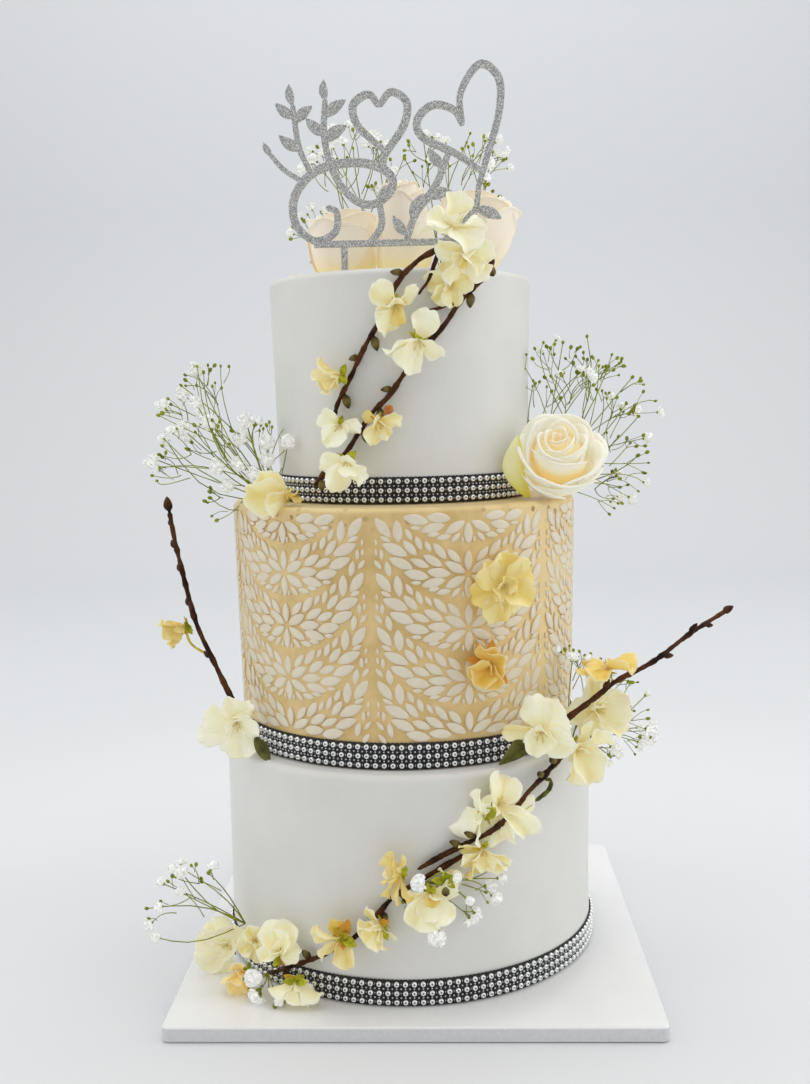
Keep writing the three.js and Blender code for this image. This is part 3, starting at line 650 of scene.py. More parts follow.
@listed
def cream_silk():
    """Cream blossom petals with a yellow throat."""
    silk = chosen("silk")
    pale = tinted(silk, (1.18, 1.4, 3.2), (0.95, 0.93, 0.8))
    return petal_finish("Cream silk", pale, silk, chosen("throat"),
                        (0.10, 0.075, 0.012), 1.0)


@listed
def gold_silk():
    """Golden blossom petals with an orange throat."""
    return petal_finish("Golden silk", (0.92, 0.70, 0.20), (0.80, 0.54, 0.05),
                        (0.48, 0.24, 0.008), (0.10, 0.045, 0.002), 1.0)


@listed
def rose_petal():
    """Ivory rose petals that glow orange-yellow where they crowd together."""
    return petal_finish("Rose petal", chosen("rose"), (0.92, 0.84, 0.53),
                        (0.93, 0.70, 0.26), (0.20, 0.13, 0.03), 0.3)


@listed
def peach_petal():
    """Pale peach rose petals, yellow at the foot."""
    return petal_finish("Peach rose petal", (0.95, 0.87, 0.74), (0.94, 0.79, 0.55),
                        (0.93, 0.80, 0.24), (0.20, 0.17, 0.04), 0.3)


@listed
def guard_petal():
    """The rose's yellow-green guard petal."""
    return petal_finish("Guard petal", (0.93, 0.93, 0.60), (0.88, 0.86, 0.22),
                        (0.60, 0.50, 0.03), (0.17, 0.16, 0.02), 0.3)


@listed
def leaf_green():
    """Yellow-green leaves and sepals, orange-brown where they are warm."""
    return plain("Leaf green", (6, 0.6), (0.31, 0.34, 0.012), (0.66, 0.66, 0.04), 0.12,
                 stain=(0.80, 0.35, 0.05), Roughness=0.5, Specular_IOR_Level=0.25)


@listed
def dark_leaf():
    """Dark olive leaves, straw-coloured where they are warm."""
    return plain("Dark leaf", (5, 0.6), (0.045, 0.045, 0.008), (0.14, 0.155, 0.03), 0.12,
                 stain=(0.30, 0.26, 0.09), Roughness=0.45, Specular_IOR_Level=0.2)


@listed
def stamen():
    """Pale yellow threads with orange-gold heads."""
    material, tree = new_finish("Stamens", Roughness=0.6)
    mottle = mottled(tree, 2, 0.4)[0]
    head = blended(tree, mottle, (0.72, 0.46, 0.09), (0.86, 0.64, 0.20))
    tip = ramped(tree, carried(tree, "along"), 0.75, 0.9)
    return dress(material, blended(tree, tip, (0.80, 0.76, 0.42), head))


@listed
def spray_stem():
    """Thin green stems, yellower in stretches."""
    return plain("Spray stem", (8, 1.0), (0.15, 0.18, 0.010), (0.38, 0.41, 0.03), 0.0,
                 Roughness=0.6, Specular_IOR_Level=0.2)


@listed
def spray_floret():
    """White petals of baby's breath, greener at their root, with a painted glow for the light
    falling through.
    """
    material, tree = new_finish("Spray floret", Roughness=0.7, Emission_Strength=1.0)
    mottle = mottled(tree, 2, 0.6)[0]
    white = blended(tree, mottle, (0.86, 0.87, 0.83), (0.94, 0.95, 0.93))
    root = ramped(tree, carried(tree, "along"), 0.35, 0.0)
    # Painted glow: the white petals give off a pale light, the root a faint green one.
    glow = blended(tree, root, (0.21, 0.21, 0.205), (0.05, 0.055, 0.018))
    base = blended(tree, root, white, (0.62, 0.68, 0.42))
    return dress(material, base, Emission_Color=glow)


@listed
def backdrop():
    """Matt paper with a painted pool of light: palest round the cake and greyer beyond."""
    material, tree = new_finish(
        "Backdrop paper", Roughness=0.8, Specular_IOR_Level=0.1
    )
    mottle = mottled(tree, 400, 2.0)[0]
    reach = add_node(tree, "ShaderNodeVectorMath", {0: position(tree)}, operation="LENGTH")
    pale = blended(tree, mottle, (0.775, 0.783, 0.80), (0.79, 0.798, 0.815))
    # Painted light: palest within 0.35 m of the origin under the cake, greyer beyond 0.75 m.
    far = ramped(tree, reach.outputs["Value"], 0.35, 0.75)
    return dress(material, blended(tree, far, pale, (0.74, 0.755, 0.77)))


# ------------------------------------------------------------------ tiers
TIERS = {
    "bottom": {"foot": 116.0, "rim": 116.0, "base": BOTTOM_FOOT, "height": 133.6, "edge": 4.0},
    "middle": {"foot": 104.0, "rim": 107.0, "base": MIDDLE_FOOT, "height": 148.2, "edge": 3.0},
    "top": {"foot": 77.5, "rim": 81.3, "base": TOP_FOOT, "height": 133.2, "edge": 4.0},
}


def wall_at(tier, height):
    """The radius of a tier's wall at a height over its foot."""
    return tier["foot"] + (tier["rim"] - tier["foot"]) * height / tier["height"]


def tier_rings(tier, sides=256, rows=56):
    """Rings of a tier: up its wall, round its edge and in over its top, a little uneven."""
    heights = np.linspace(0, tier["height"] - tier["edge"], rows)
    wall = np.stack([wall_at(tier, heights), heights], -1)
    bend = np.linspace(0, np.pi / 2, 9)[1:]
    edge = np.stack(
        [tier["rim"] - tier["edge"] * (1 - np.cos(bend)),
         tier["height"] - tier["edge"] * (1 - np.sin(bend))], -1,
    )
    top = np.linspace(edge[-1, 0], 4, 10)[1:]
    flat = np.stack([top, np.full_like(top, tier["height"])], -1)
    foot = np.array([[4.0, 0.0], [tier["foot"] - 1.2, 0.0], [tier["foot"] - 0.3, 0.4]])
    rings = turned(np.concatenate([foot, wall[1:], edge, flat]), sides)
    out = unit(rings * [1, 1, 0])
    swell = unevenness(rings, 70, seed=int(tier["height"])) * 0.35
    swell += unevenness(rings, 18, seed=5) * 0.07
    rings = rings + out * (swell * np.hypot(rings[..., 0], rings[..., 1]) / tier["rim"])[..., None]
    return rings + [0, 0, tier["base"]]


class CAKE_OT_tiers(bpy.types.Operator):
    """Make the two white tiers and the ground of the gold one"""

    bl_idname = "cake.tiers"
    bl_label = "Tiers"

    def execute(self, context):
        for name, tier in TIERS.items():
            rings = tier_rings(tier)
            over = tier["base"] + tier["height"] - rings[..., 2]
            masks = {}
            if name == "middle":
                side = np.hypot(rings[..., 0], rings[..., 1]) > tier["foot"] - 4
                # The rim mask marks the top edge, where the gold finish paints a highlight and
                # holds back the side highlight.
                masks = {
                    "rim": np.clip(1 - over / 3.5, 0, 1),
                    "dabs": np.clip(1.2 - np.abs(over - 5) / 7, 0, 1) * side,
                }
            finish = "gold_paste" if name == "middle" else "white_paste"
            patch = skin(rings, **masks)
            add_piece(f"paste_{name}", [patch], (finish,), [f"tier_{name}"])
        return {"FINISHED"}


# One half of the stencil's repeat: [across, up, length, slope] from the middle of a rosette.
STENCIL = {"columns": 6, "rows": 6, "pitch": 30.65, "first_row": 284.3, "first_column": 21.5}
STENCIL_LEAVES = [
    [0, 7.6, 11.2, 90], [7.8, 4.1, 13, 28], [7.8, -4.1, 12.8, -27], [0, -7.7, 11.8, -90],
    [7.6, -9.9, 7, -46], [3.5, -11.2, 3.4, -88], [14.5, -9.3, 8, -9], [20.2, -7.6, 6.6, -6],
    [30, -3.6, 5.6, 2], [20.3, -4, 13.2, -12], [17.1, 1.5, 13.2, 7], [29.7, 0.8, 13.7, 13],
    [38.2, 7.4, 14, 25], [20.5, 8.4, 11.8, 32], [27.9, 7.3, 10.8, 23.5], [33.2, 15.9, 10.7, 51],
    [41.5, 15.1, 14.7, 25], [8.6, 10.6, 10.4, 47], [16.6, 13.6, 11.2, 51], [23.2, 16.5, 6.4, 60],
    [28.4, 18.6, 8, 70], [33.8, 23.4, 7.2, 62], [39.9, 25.3, 12, 85], [48.1, 27.4, 13, 55],
    [46.7, 21, 6.3, 27], [49, 12.4, 5.7, 89], [51.9, 13.7, 4, 81], [51.9, 19.2, 3.6, 83],
    [51.1, 6.9, 6, 51], [45.4, 4.4, 8.7, 79],
]


def stencil_leaves(lowest, highest):
    """Every leaf of the relief as rows of [azimuth, height, length, slope].

    The half repeat is mirrored about each rosette and set out in columns and rows. A leaf that
    crosses a limit keeps its far tip and is shortened to end there.
    """
    half = np.array(STENCIL_LEAVES, float)
    mirrored = half[half[:, 0] > 0] * [-1, 1, 1, -1]
    leaves = np.vstack([half, mirrored])
    column = np.arange(STENCIL["columns"])[:, None, None]
    row = np.arange(STENCIL["rows"])[None, :, None]
    across, up, length, slope = leaves.T
    arc = np.radians(STENCIL["first_column"] + 360 / STENCIL["columns"] * column)
    height = STENCIL["first_row"] - STENCIL["pitch"] * row + up
    across, height, length, slope, arc = (
        a.ravel() for a in np.broadcast_arrays(across, height, length, slope, arc)
    )
    rise = np.abs(np.sin(np.radians(slope))) * length / 2
    top, bottom = np.minimum(height + rise, highest), np.maximum(height - rise, lowest)
    share = np.where(rise > 1, (top - bottom) / np.maximum(2 * rise, 1e-6), 1.0)
    shift = np.where(rise > 1, (top + bottom) / 2 - height, 0.0)
    run = np.cos(np.radians(slope)) / np.where(rise > 1, np.sin(np.radians(slope)), 1.0)
    across = across + shift * run * (rise > 1)
    height = height + shift
    keep = (share > 0.45) & (height < highest) & (height > lowest)
    azimuth = arc + across / wall_at(TIERS["middle"], height - MIDDLE_FOOT)
    return np.stack([azimuth, height, length * share, slope], -1)[keep]


class CAKE_OT_relief(bpy.types.Operator):
    """Lay the white leaves of the stencil on the gold tier"""

    bl_idname = "cake.relief"
    bl_label = "Relief"

    def execute(self, context):
        rise = context.scene.cake_sizes.relief / MM
        tier = TIERS["middle"]
        lowest = MIDDLE_FOOT + 15.0
        highest = MIDDLE_FOOT + tier["height"] - 3.4
        azimuth, height, length, slope = stencil_leaves(lowest, highest).T[..., None, None]
        rng = np.random.default_rng(8)
        width = length * rng.uniform(0.44, 0.50, length.shape)
        length = length * 1.05
        slope = np.radians(slope + rng.uniform(-2, 2, slope.shape))
        # Along a leaf its half width goes as (1 - u^2)^0.8, and it dips at its ends as u^10. Across
        # it, a column is a share of the half width and of the rise. Those below 0 are in the wall.
        u = np.sin(np.radians(np.linspace(-80, 80, 8)))[None, :, None]
        share = np.array([-1, -0.86, -0.45, 0.45, 0.86, 1, 0.6, -0.6])
        level = np.array([-0.1, 0.84, 1.0, 1.0, 0.84, -0.1, -0.7, -0.7])
        side = width / 2 * (1 - u**2) ** 0.8 * share
        ahead = length / 2 * u
        across = ahead * np.cos(slope) - side * np.sin(slope)
        up = height + ahead * np.sin(slope) + side * np.cos(slope)
        lift = rise * np.where(level > 0, level * (1 - u**10), level)
        wall = wall_at(tier, up - MIDDLE_FOOT)
        turn = azimuth + across / wall
        where = np.stack([wall * np.sin(turn), wall * np.cos(turn), up], -1)
        out = wall + lift + unevenness(where, 9, seed=3) * 0.12
        rings = about_axis(out, turn, up)
        # The edge mask is 1 on a leaf's walls and rises towards its shoulders and ends, where its
        # finish paints shade.
        edge = np.where(level > 0, 0.25 * (1 - level) + 0.5 * u**12, 1.0) + 0 * out
        add_piece("relief_leaves", [skin(rings, edge=edge)], ("relief_icing",))
        return {"FINISHED"}


# ------------------------------------------------------------------ ribbons
RIBBON = {"height": 15.8, "rows": 3}
NET, STUD = range(2)
# Profiles of the studs, each [radius, height] from the crown down, and how many sides they have.
STUDS = {
    "dome": ([[0, 0.8], [0.36, 0.84], [0.6, 1.24], [0.95, 1.42], [1.35, 1.12], [1.64, 0.5],
              [1.74, -0.1], [1.7, -0.5]], 12),
    "bead": ([[0, 0.85], [0.45, 0.72], [0.78, 0.35], [0.86, -0.05], [0.8, -0.3]], 8),
}
# Runs of studs: the kind, the first level in rows, the shift along the ribbon in pitches, and the
# width and the height as shares of the profile's. The last joins two domes of a row.
STUD_RUNS = (
    ("dome", 0.5, 0.0, 1.0, 1.0),
    ("bead", 1.0, 0.5, 0.8, 0.8),
    ("bead", 1.0, 0.0, 0.75, 0.75),
    ("bead", 0.5, 0.5, 0.36, 1.0),
)


def ribbon_patches(tier, pitch):
    """A net band with a notched top edge, silver domes in rows and small beads between them.

    Every stud is a profile turned about its own axis, which points straight out of the wall. A mask
    darkens the crown of a dome, as a painted dark reflection, and the whole of a bead.
    """
    base, rows, height = tier["base"], RIBBON["rows"], RIBBON["height"]
    inner = tier["foot"] + GAP
    lean = (tier["rim"] - tier["foot"]) / tier["height"]
    around = int(round(FULL_TURN * (inner + 1) / pitch))
    turn = whole_turn(around * 4)
    notch = 0.35 * np.abs(np.sin(turn * around))
    levels = np.array([0.3, 0.3, 0.9, height - 0.9, height, height])
    outs = np.array([0.05, 0.5, 0.8, 0.8, 0.5, 0.05])
    level = levels[:, None] + np.array([0, 0, 0, 0, -1, -1])[:, None] * notch
    out = inner + level * lean + outs[:, None]
    patches = [ring_band(about_axis(out, turn, base + level))]
    for name, first, phase, wide, tall in STUD_RUNS:
        table, sides = np.array(STUDS[name][0]), STUDS[name][1]
        level = np.arange(first, rows) * height / rows
        turn = (np.arange(around) + phase) / around * FULL_TURN
        level, turn = (a.ravel() for a in np.meshgrid(level, turn))
        out = inner + level * lean + 0.8
        centre = about_axis(out, turn, base + level)
        axes = axes_of(about_axis(1, turn, 0))
        spin = whole_turn(sides)
        radius = np.maximum(table[:, 0], 0.02)
        local = np.stack(
            [np.outer(radius, np.cos(spin)) * wide, np.outer(radius, np.sin(spin)) * tall,
             np.repeat(table[:, 1:], sides, 1)], -1,
        )
        # Painted reflection: the crown of a dome is darkened; the small beads are made duller.
        crown = np.clip((0.7 - table[:, 0]) / 0.3, 0, 1) * (name == "dome")
        painted_crown_and_dull = 0.9 * crown + 0.45 * (name == "bead")
        rings = centre[:, None, None] + local @ axes[:, None]
        patches.append(skin(rings, STUD, hollow=painted_crown_and_dull[None, :, None]))
    return patches


def ring_band(rings):
    """A band that closes on itself round the axis, from its [row, column, xyz] profile rings."""
    rows, cols = rings.shape[:2]
    row, col = np.arange(rows)[:, None], np.arange(cols)[None]
    below, after = (row + 1) % rows, (col + 1) % cols
    faces = np.stack(
        [row * cols + col, row * cols + after, below * cols + after, below * cols + col], -1
    ).reshape(-1, 4)
    points = rings.reshape(-1, 3)
    a, b, c = (points[faces[:, k]] for k in range(3))
    if (a * np.cross(b, c)).sum() < 0:
        faces = faces[:, ::-1]
    return Patch(points, [faces], NET)


class CAKE_OT_ribbons(bpy.types.Operator):
    """Wrap a beaded ribbon round the foot of each tier"""

    bl_idname = "cake.ribbons"
    bl_label = "Ribbons"

    def execute(self, context):
        pitch = context.scene.cake_sizes.bead_pitch / MM
        finishes = ("ribbon_net", "bead_silver")
        for name, tier in TIERS.items():
            patches = ribbon_patches(tier, pitch)
            add_piece(f"beads_{name}", patches, finishes, [f"ribbon_{name}"])
        return {"FINISHED"}


# ------------------------------------------------------------------ topper
TOPPER = {"thick": 3.0, "y": -50.0, "x": -2.0, "bottom": 440.5, "bar": 3.8, "length": 91.0,
          "stake": -28.0}
# Each stroke: its [across, up] points, its width at the ends and its width in the middle.
TOPPER_STROKES = [
    ([[42, 67], [37, 76], [25, 79], [16, 71], [19, 61], [37, 52], [53, 41]], 2.6, 4.6),
    ([[42, 67], [41, 85], [52, 101], [63, 93], [63, 74], [56, 50], [50, 30]], 2.8, 4.4),
    ([[51, 34], [48, 18], [36, 10], [30, 1]], 2.6, 3.6),
    ([[-6, 79], [-12, 86], [-21, 80], [-18, 68], [-3, 54]], 2.8, 4.6),
    ([[-6, 79], [1, 87], [10, 81], [8, 68], [-3, 52], [-4, 44]], 2.8, 4.6),
    ([[-38, 23], [-32, 20], [-33, 9], [-45, 4], [-56, 14], [-56, 30], [-43, 44], [-20, 48],
      [-3, 43], [1, 34], [-8, 25], [-20, 26], [-32, 40], [-38, 62], [-37, 84]], 3, 5),
    ([[-50, 37], [-62, 45], [-70, 54]], 2.4, 3),
    ([[-46, 42], [-53, 58], [-56, 82]], 2.6, 3.4),
    ([[-14, 1], [-6, 12], [-7, 26]], 2.8, 4),
    ([[8, 1], [14, 18], [26, 34], [34, 53]], 2.8, 4.4),
]
# Each leaf: the [across, up] of its root, its length and its slope.
TOPPER_LEAVES = [
    [-37, 83, 12, 92], [-37, 74, 15, 38], [-38, 60, 16, 34], [-37, 64, 15, 140],
    [-56, 81, 12, 98], [-55, 71, 14, 42], [-55, 74, 14, 142], [-52, 56, 15, 146],
    [-69, 53, 9, 120], [12, 14, 17, 66], [20, 27, 16, 12], [-7, 24, 13, 60],
    [9, 6, 14, 125], [49, 20, 16, -22], [46, 15, 13, 118], [31, 44, 14, 130],
]


EASE = 0.25  # the eased part of a plate's edge


def flat_bar(line, half_width, thick):
    """Rings of a plate along a flat line: a rectangle with its four edges eased."""
    along = unit(np.gradient(line, axis=0))
    side = np.stack([-along[:, 1], along[:, 0]], -1)
    # Round the rectangle, a corner is [share of the half width, share of the half thickness, how
    # far it is drawn in], twice over, so that its edge is cut off.
    low, high = 1 - EASE, 1
    corners = np.array([
        [1, -high, EASE], [1, -low, 0], [1, low, 0], [1, high, EASE],
        [-1, high, EASE], [-1, low, 0], [-1, -low, 0], [-1, -high, EASE],
    ])
    share, level, pull = corners.T
    reach = np.maximum(half_width[:, None] - pull * 0.8, 0.03) * share
    flat = line[:, None] + side[:, None] * reach[..., None]
    deep = level * np.broadcast_to(thick, len(line))[:, None] / 2
    return np.stack([flat[..., 0], deep, flat[..., 1]], -1)


def rounded_ends(line, half_width):
    """Half widths that close in a half circle at both ends of a line."""
    steps = np.linalg.norm(np.diff(line, axis=0), axis=1)
    run = np.concatenate([[0], np.cumsum(steps)])
    near = np.minimum(run, run[-1] - run)
    part = np.clip(near / half_width, 0, 1)
    return half_width * np.sqrt(np.clip(1 - (1 - part) ** 2, 0.0004, 1))


def with_close_ends(points, steps):
    """A smooth line whose first and last steps are split finely for rounded ends."""
    line = smooth_path(points, steps)
    fine = np.array([0.0, 0.06, 0.16, 0.32, 0.55, 0.8])[:, None]
    first = line[0] + (line[3] - line[0]) * fine
    last = line[-1] + (line[-4] - line[-1]) * fine
    return np.vstack([first, line[3:-3], last[::-1]])


class CAKE_OT_topper(bpy.types.Operator):
    """Cut the topper of hearts, scrolls and sprigs"""

    bl_idname = "cake.topper"
    bl_label = "Topper"

    def execute(self, context):
        patches = []
        thick = TOPPER["thick"]
        stake = TOPPER["stake"]
        drop = TOPPER["bottom"] - CAKE_TOP - GAP
        half_bar = TOPPER["bar"] / 2
        half = TOPPER["length"] / 2
        straight = [
            ([[-half, half_bar], [half, half_bar]], thick + 0.1),
            ([[stake, 1.0], [stake, -drop]], thick),
        ]
        for points, layer in straight:
            line = np.linspace(*np.array(points, float), 12)
            patches.append(skin(flat_bar(line, np.full(12, half_bar), layer)))
        for k, (points, thin, wide) in enumerate(TOPPER_STROKES):
            line = with_close_ends(np.array(points, float), 8)
            part = np.linspace(0, 1, len(line))
            swell = (thin + (wide - thin) * np.sin(np.pi * part) ** 0.8) / 2
            layer = thick - 0.05 * (k + 1) - 0.3 * part
            patches.append(skin(flat_bar(line, rounded_ends(line, swell), layer)))
        for k, (across, up, length, slope) in enumerate(TOPPER_LEAVES):
            way = np.array([np.cos(np.radians(slope)), np.sin(np.radians(slope))])
            part = np.linspace(0, 1, 15)
            line = np.array([across, up]) + way * (part * length)[:, None]
            bow = np.array([-way[1], way[0]]) * (np.sin(np.pi * part) * length * 0.06)[:, None]
            belly = 0.21 * length * np.sin(np.pi * part**0.9) ** 0.85 + 0.05
            layer = thick - 0.05 * (len(TOPPER_STROKES) + 1) - 0.02 * k
            patches.append(skin(flat_bar(line + bow, belly, layer)))
        for patch in patches:
            patch.points = patch.points + [TOPPER["x"], TOPPER["y"], TOPPER["bottom"]]
        add_piece("cut_out", patches, ("silver_glitter",), ["topper"], smooth=False)
        return {"FINISHED"}


# ------------------------------------------------------------------ twigs
class Twig(NamedTuple):
    """A twig: its radius, the places it follows, its buds and its thinner shoots.

    A bud is [part of the length, side angle]. A slim twig has slim buds of bark, and a green one
    has green shoots.
    """

    radius: float
    places: list
    buds: list
    shoots: list = ()
    slim: bool = False
    green: bool = False


BARK, SCALES, GREEN_SHOOT = range(3)
# A bud's length and width on a twig's tip, on a slim twig and on any other.
TIP_BUD, SLIM_BUD, SIDE_BUD = (9.6, 5.2), (8.6, 3.7), (8.4, 4.5)
AT_TIP = 0.94  # the part of the length from which a bud sits on the tip
TWIGS = {
    "twig_top_left": Twig(
        2.1, [[18, 435.5, 88], [9, 427, 88], [1, 415, 87], [-5, 397, 86], [-11, 382, 85],
              [-18, 364, 84], [-23.5, 351, 84], [-26, 338, 84]],
        [[0.22, 0], [0.62, 0], [0.8, 180], [0.94, 90], [0.5, 180]],
        shoots=[[[17, 434, 88], [15.5, 427, 88], [13, 417, 88], [9, 409, 87]]],
    ),
    "twig_top_right": Twig(
        2.2, [[37, 429, 93], [32.5, 417, 91], [26, 408, 88], [18.5, 392, 86.5], [11, 380, 85],
              [4, 367, 84], [-2.5, 354, 84], [-9.5, 344, 84], [-15, 333, 84], [-20, 323, 84],
              [-30, 311, 84.5], [-34, 302, 88]],
        [[0.03, 90], [0.14, 180], [0.2, 0], [0.3, 0], [0.52, 0], [0.6, 180], [0.7, 180],
         [0.94, 180]],
        shoots=[[[26, 408, 88], [19, 403, 88], [11, 399, 88], [6, 393, 90]]],
    ),
    "twig_left": Twig(
        2.35, [[-50, 151, 112], [-54, 164, 117], [-57, 182, 125], [-60, 203, 132],
               [-63.3, 223, 138], [-66, 244, 142], [-68, 265, 145], [-70.2, 288, 148]],
        [[0.42, 180], [0.6, 0], [0.62, 180], [0.76, 180], [0.86, 180], [0.93, 180], [0.99, 90]],
        slim=True,
    ),
    "twig_right": Twig(
        2.2, [[41, 158, 124], [49.5, 171, 131], [55, 180, 139.5], [59.4, 187, 147],
              [64.2, 196, 161], [68.3, 207, 175], [71.4, 216, 188], [74.1, 225, 201]],
        [[0.3, 180], [0.62, 0], [0.76, 180], [0.86, 0], [0.95, 90]],
        slim=True,
    ),
    "twig_low_right": Twig(
        2.2, [[49, 146, 124], [45.9, 141.5, 123.5], [40.9, 136, 124], [34.9, 129.5, 125],
              [30, 121.8, 126], [26.5, 115.8, 126], [22.8, 110.9, 126], [19.5, 106.7, 123],
              [16, 103, 121], [10, 98, 120.3], [3.7, 91.1, 120]],
        [[0.09, 0], [0.2, 0], [0.68, 0], [0.8, 0]],
        shoots=[[[41.9, 133.5, 122.5], [43.6, 131.6, 123], [43, 127, 123], [39.5, 123.5, 123],
                 [36.7, 121.5, 122.5], [33.5, 120, 122]]],
        green=True,
    ),
    "twig_low_left": Twig(
        2.1, [[17, 97, 119.6], [10, 91, 120], [3, 83, 120], [-3, 74, 120], [-8, 62, 120],
              [-14.6, 49, 120], [-23, 37, 121], [-29.4, 30, 122], [-35.6, 24, 123],
              [-41, 18, 124]],
        [[0.4, 180], [0.5, 180], [0.72, 0], [0.86, 180]],
        shoots=[[[-1, 77, 120], [2, 70, 120], [6, 71, 120]]],
    ),
}


def bark_tube(places, radius, seed, knots=()):
    """A knobbly stick: a tube whose radius swells at its knots and joints and thins to its ends."""
    path = smooth_path(place_points(places), 9)
    rng = np.random.default_rng(seed)
    part = np.linspace(0, 1, len(path))
    joints = np.concatenate([rng.uniform(0.04, 0.96, len(places)), np.asarray(knots, float)])
    length = np.linalg.norm(np.diff(path, axis=0), axis=1).sum()
    swell = np.exp(-(((part[:, None] - joints) * length / 2.6) ** 2)).sum(1)
    kink = np.sin(part[:, None] * length / 9 + rng.uniform(0, FULL_TURN, 3)) * 0.35
    path = path + kink
    thick = radius * (1 - 0.25 * part) * (1 + 0.32 * np.clip(swell, 0, 1.2))
    thick = thick * (1 + 0.05 * np.sin(part * length * 1.7 + seed))
    thick = rounded_ends(path, thick)
    rings = tube(path[None], thick[None], 12, hint=(0.2, 0.9, 0.3))
    lumps = unevenness(rings, 3.2, seed)[..., None] * 0.16 * radius
    rings = rings + unit(rings - path[None, :, None]) * lumps
    return skin(rings, BARK), path


def bud_patch(root, way, length, wide, finish):
    """An egg-shaped bud on a short stalk, pointing along `way`, with three faint scale ridges."""
    part = np.array([0.0, 0.12, 0.2, 0.32, 0.48, 0.64, 0.8, 0.92, 1.0])
    full = np.array([0.34, 0.34, 0.62, 0.92, 1.0, 0.9, 0.66, 0.36, 0.08])
    spin = whole_turn(9)
    ridge = 1 + 0.1 * np.sin(3 * spin[None] + 4 * part[:, None])
    axes = axes_of(way, hint=(0.3, -0.9, 0.31))
    radius = wide / 2 * full[:, None] * ridge
    local = np.stack(
        [radius * np.cos(spin), radius * np.sin(spin), np.repeat(part[:, None] * length, 9, 1)], -1
    )
    return skin((root + local @ axes)[None], finish, along=part[None, :, None])


class CAKE_OT_twigs(bpy.types.Operator):
    """Bend the budding twigs up the front of the cake"""

    bl_idname = "cake.twigs"
    bl_label = "Twigs"

    def execute(self, context):
        finishes = ("twig_bark", "twig_bud", "dark_leaf")
        for seed, (name, twig) in enumerate(TWIGS.items()):
            knots = [part for part, _ in twig.buds]
            stick, path = bark_tube(twig.places, twig.radius * 0.68, seed, knots)
            patches = [stick]
            for k, shoot in enumerate(twig.shoots):
                twiglet = bark_tube(shoot, twig.radius * 0.5, seed + 20 + k)[0]
                twiglet.finish = GREEN_SHOOT if twig.green else BARK
                patches.append(twiglet)
            along = unit(np.gradient(path, axis=0))
            rng = np.random.default_rng(seed)
            for part, side in twig.buds:
                at = int(round(part * (len(path) - 1)))
                outward = unit(path[at] * [1, 1, 0])
                beside = unit(np.cross(along[at], outward))
                turn = np.radians(side + rng.uniform(-15, 15))
                at_tip = part > AT_TIP
                lean = (1 - at_tip) * (1 - 0.2 * twig.slim)
                lean = lean * (np.cos(turn) * beside + np.sin(turn) * outward)
                way = unit(lean + 0.9 * along[at])
                root = path[at] + way * twig.radius * 0.4
                size = rng.uniform(0.85, 1.15)
                long, wide = TIP_BUD if at_tip else SLIM_BUD if twig.slim else SIDE_BUD
                finish = BARK if twig.slim else SCALES
                patches.append(bud_patch(root, way, long * size, wide * size, finish))
            add_piece(f"wired_{name}", patches, finishes, [name])
        return {"FINISHED"}


# ------------------------------------------------------------------ petals
def petal_grid(rows, cols):
    """The two numbers of a petal's surface: u from root to edge, v from side to side."""
    u = np.linspace(0, 1, rows)[:, None]
    v = np.linspace(-1, 1, cols)[None]
    return np.broadcast_to(u, (rows, cols)), np.broadcast_to(v, (rows, cols))


def petal_disc(size):
    """A round petal's numbers on a square grid pressed into a disc: along, from 0, and across."""
    part = np.linspace(-1, 1, size)
    row, col = part[:, None], part[None]
    return (row * np.sqrt(1 - col**2 / 2) + 1) / 2, col * np.sqrt(1 - row**2 / 2)


def blossom_petal(length, width, start, end, cup, ruffle, phase, twist=0.0, size=18):
    """The middle surface of a blossom petal, from its root at the origin along +Y, facing +Z.

    It is a disc drawn out to a narrow claw at its root. Its slope over the flower runs evenly from
    `start` to `end` degrees, its sides rise by `cup` of the half width, and `twist` turns its tip
    about its length. Waves of height `ruffle`, three, five and nine to a turn, grow with a power
    of the distance from the petal's middle, its outline is uneven by a wave of seven to a turn,
    and one broad fold and fine creases run along it. The masks go with it: "fold" is 1 in a valley
    and 0 on a crest, and "edge" is 1 at the rim.
    """
    u, x = petal_disc(size)
    rim, turn = np.hypot(x, 2 * u - 1), np.arctan2(x, 2 * u - 1)
    uneven = 1 + 0.035 * rim**4 * np.cos(7 * turn + 2 * phase) * np.clip(1.6 * u, 0, 1)
    u, x = 0.5 + (u - 0.5) * uneven, x * uneven
    broad = 0.36 + 0.64 * np.sin(np.pi / 2 * np.clip(u / 0.66, 0, 1)) ** 1.5
    reach = u - 0.05 * u**6 * np.exp(-((x / 0.18) ** 2))
    a, b = np.radians(start), np.radians(end)
    slope = a + (b - a) * reach
    bend = b - a if abs(b - a) > 1e-3 else 1e-3
    ahead = length * (np.sin(slope) - np.sin(a)) / bend
    up = -length * (np.cos(slope) - np.cos(a)) / bend
    wave = rim**3 * (0.7 * np.sin(3 * turn + phase) + 0.6 * np.sin(5 * turn - 2 * phase))
    wave = (wave + 0.22 * rim**6 * np.sin(9 * turn + 3 * phase)) * np.clip(1.6 * u, 0, 1)
    fold = u * np.sin(3.1 * x + phase)
    half = width / 2 * broad
    side = half * x * np.cos(twist * u)
    crease = 0.12 * np.sin(11 * x + phase) * u * (1.1 - u) * np.clip(1 - np.abs(x), 0, 1) ** 0.5
    raised = cup * half * np.abs(x) ** 1.8 + ruffle * (wave + 0.7 * fold + crease)
    raised = raised + half * x * np.sin(twist * u)
    middle = np.stack([side, ahead - raised * np.sin(slope), up + raised * np.cos(slope)], -1)
    valley = np.clip(0.5 - 0.34 * fold - 0.34 * wave - 2.2 * crease, 0, 1)
    return middle, {"along": u, "across": x, "fold": valley, "edge": np.clip(rim, 0, 1) ** 7}


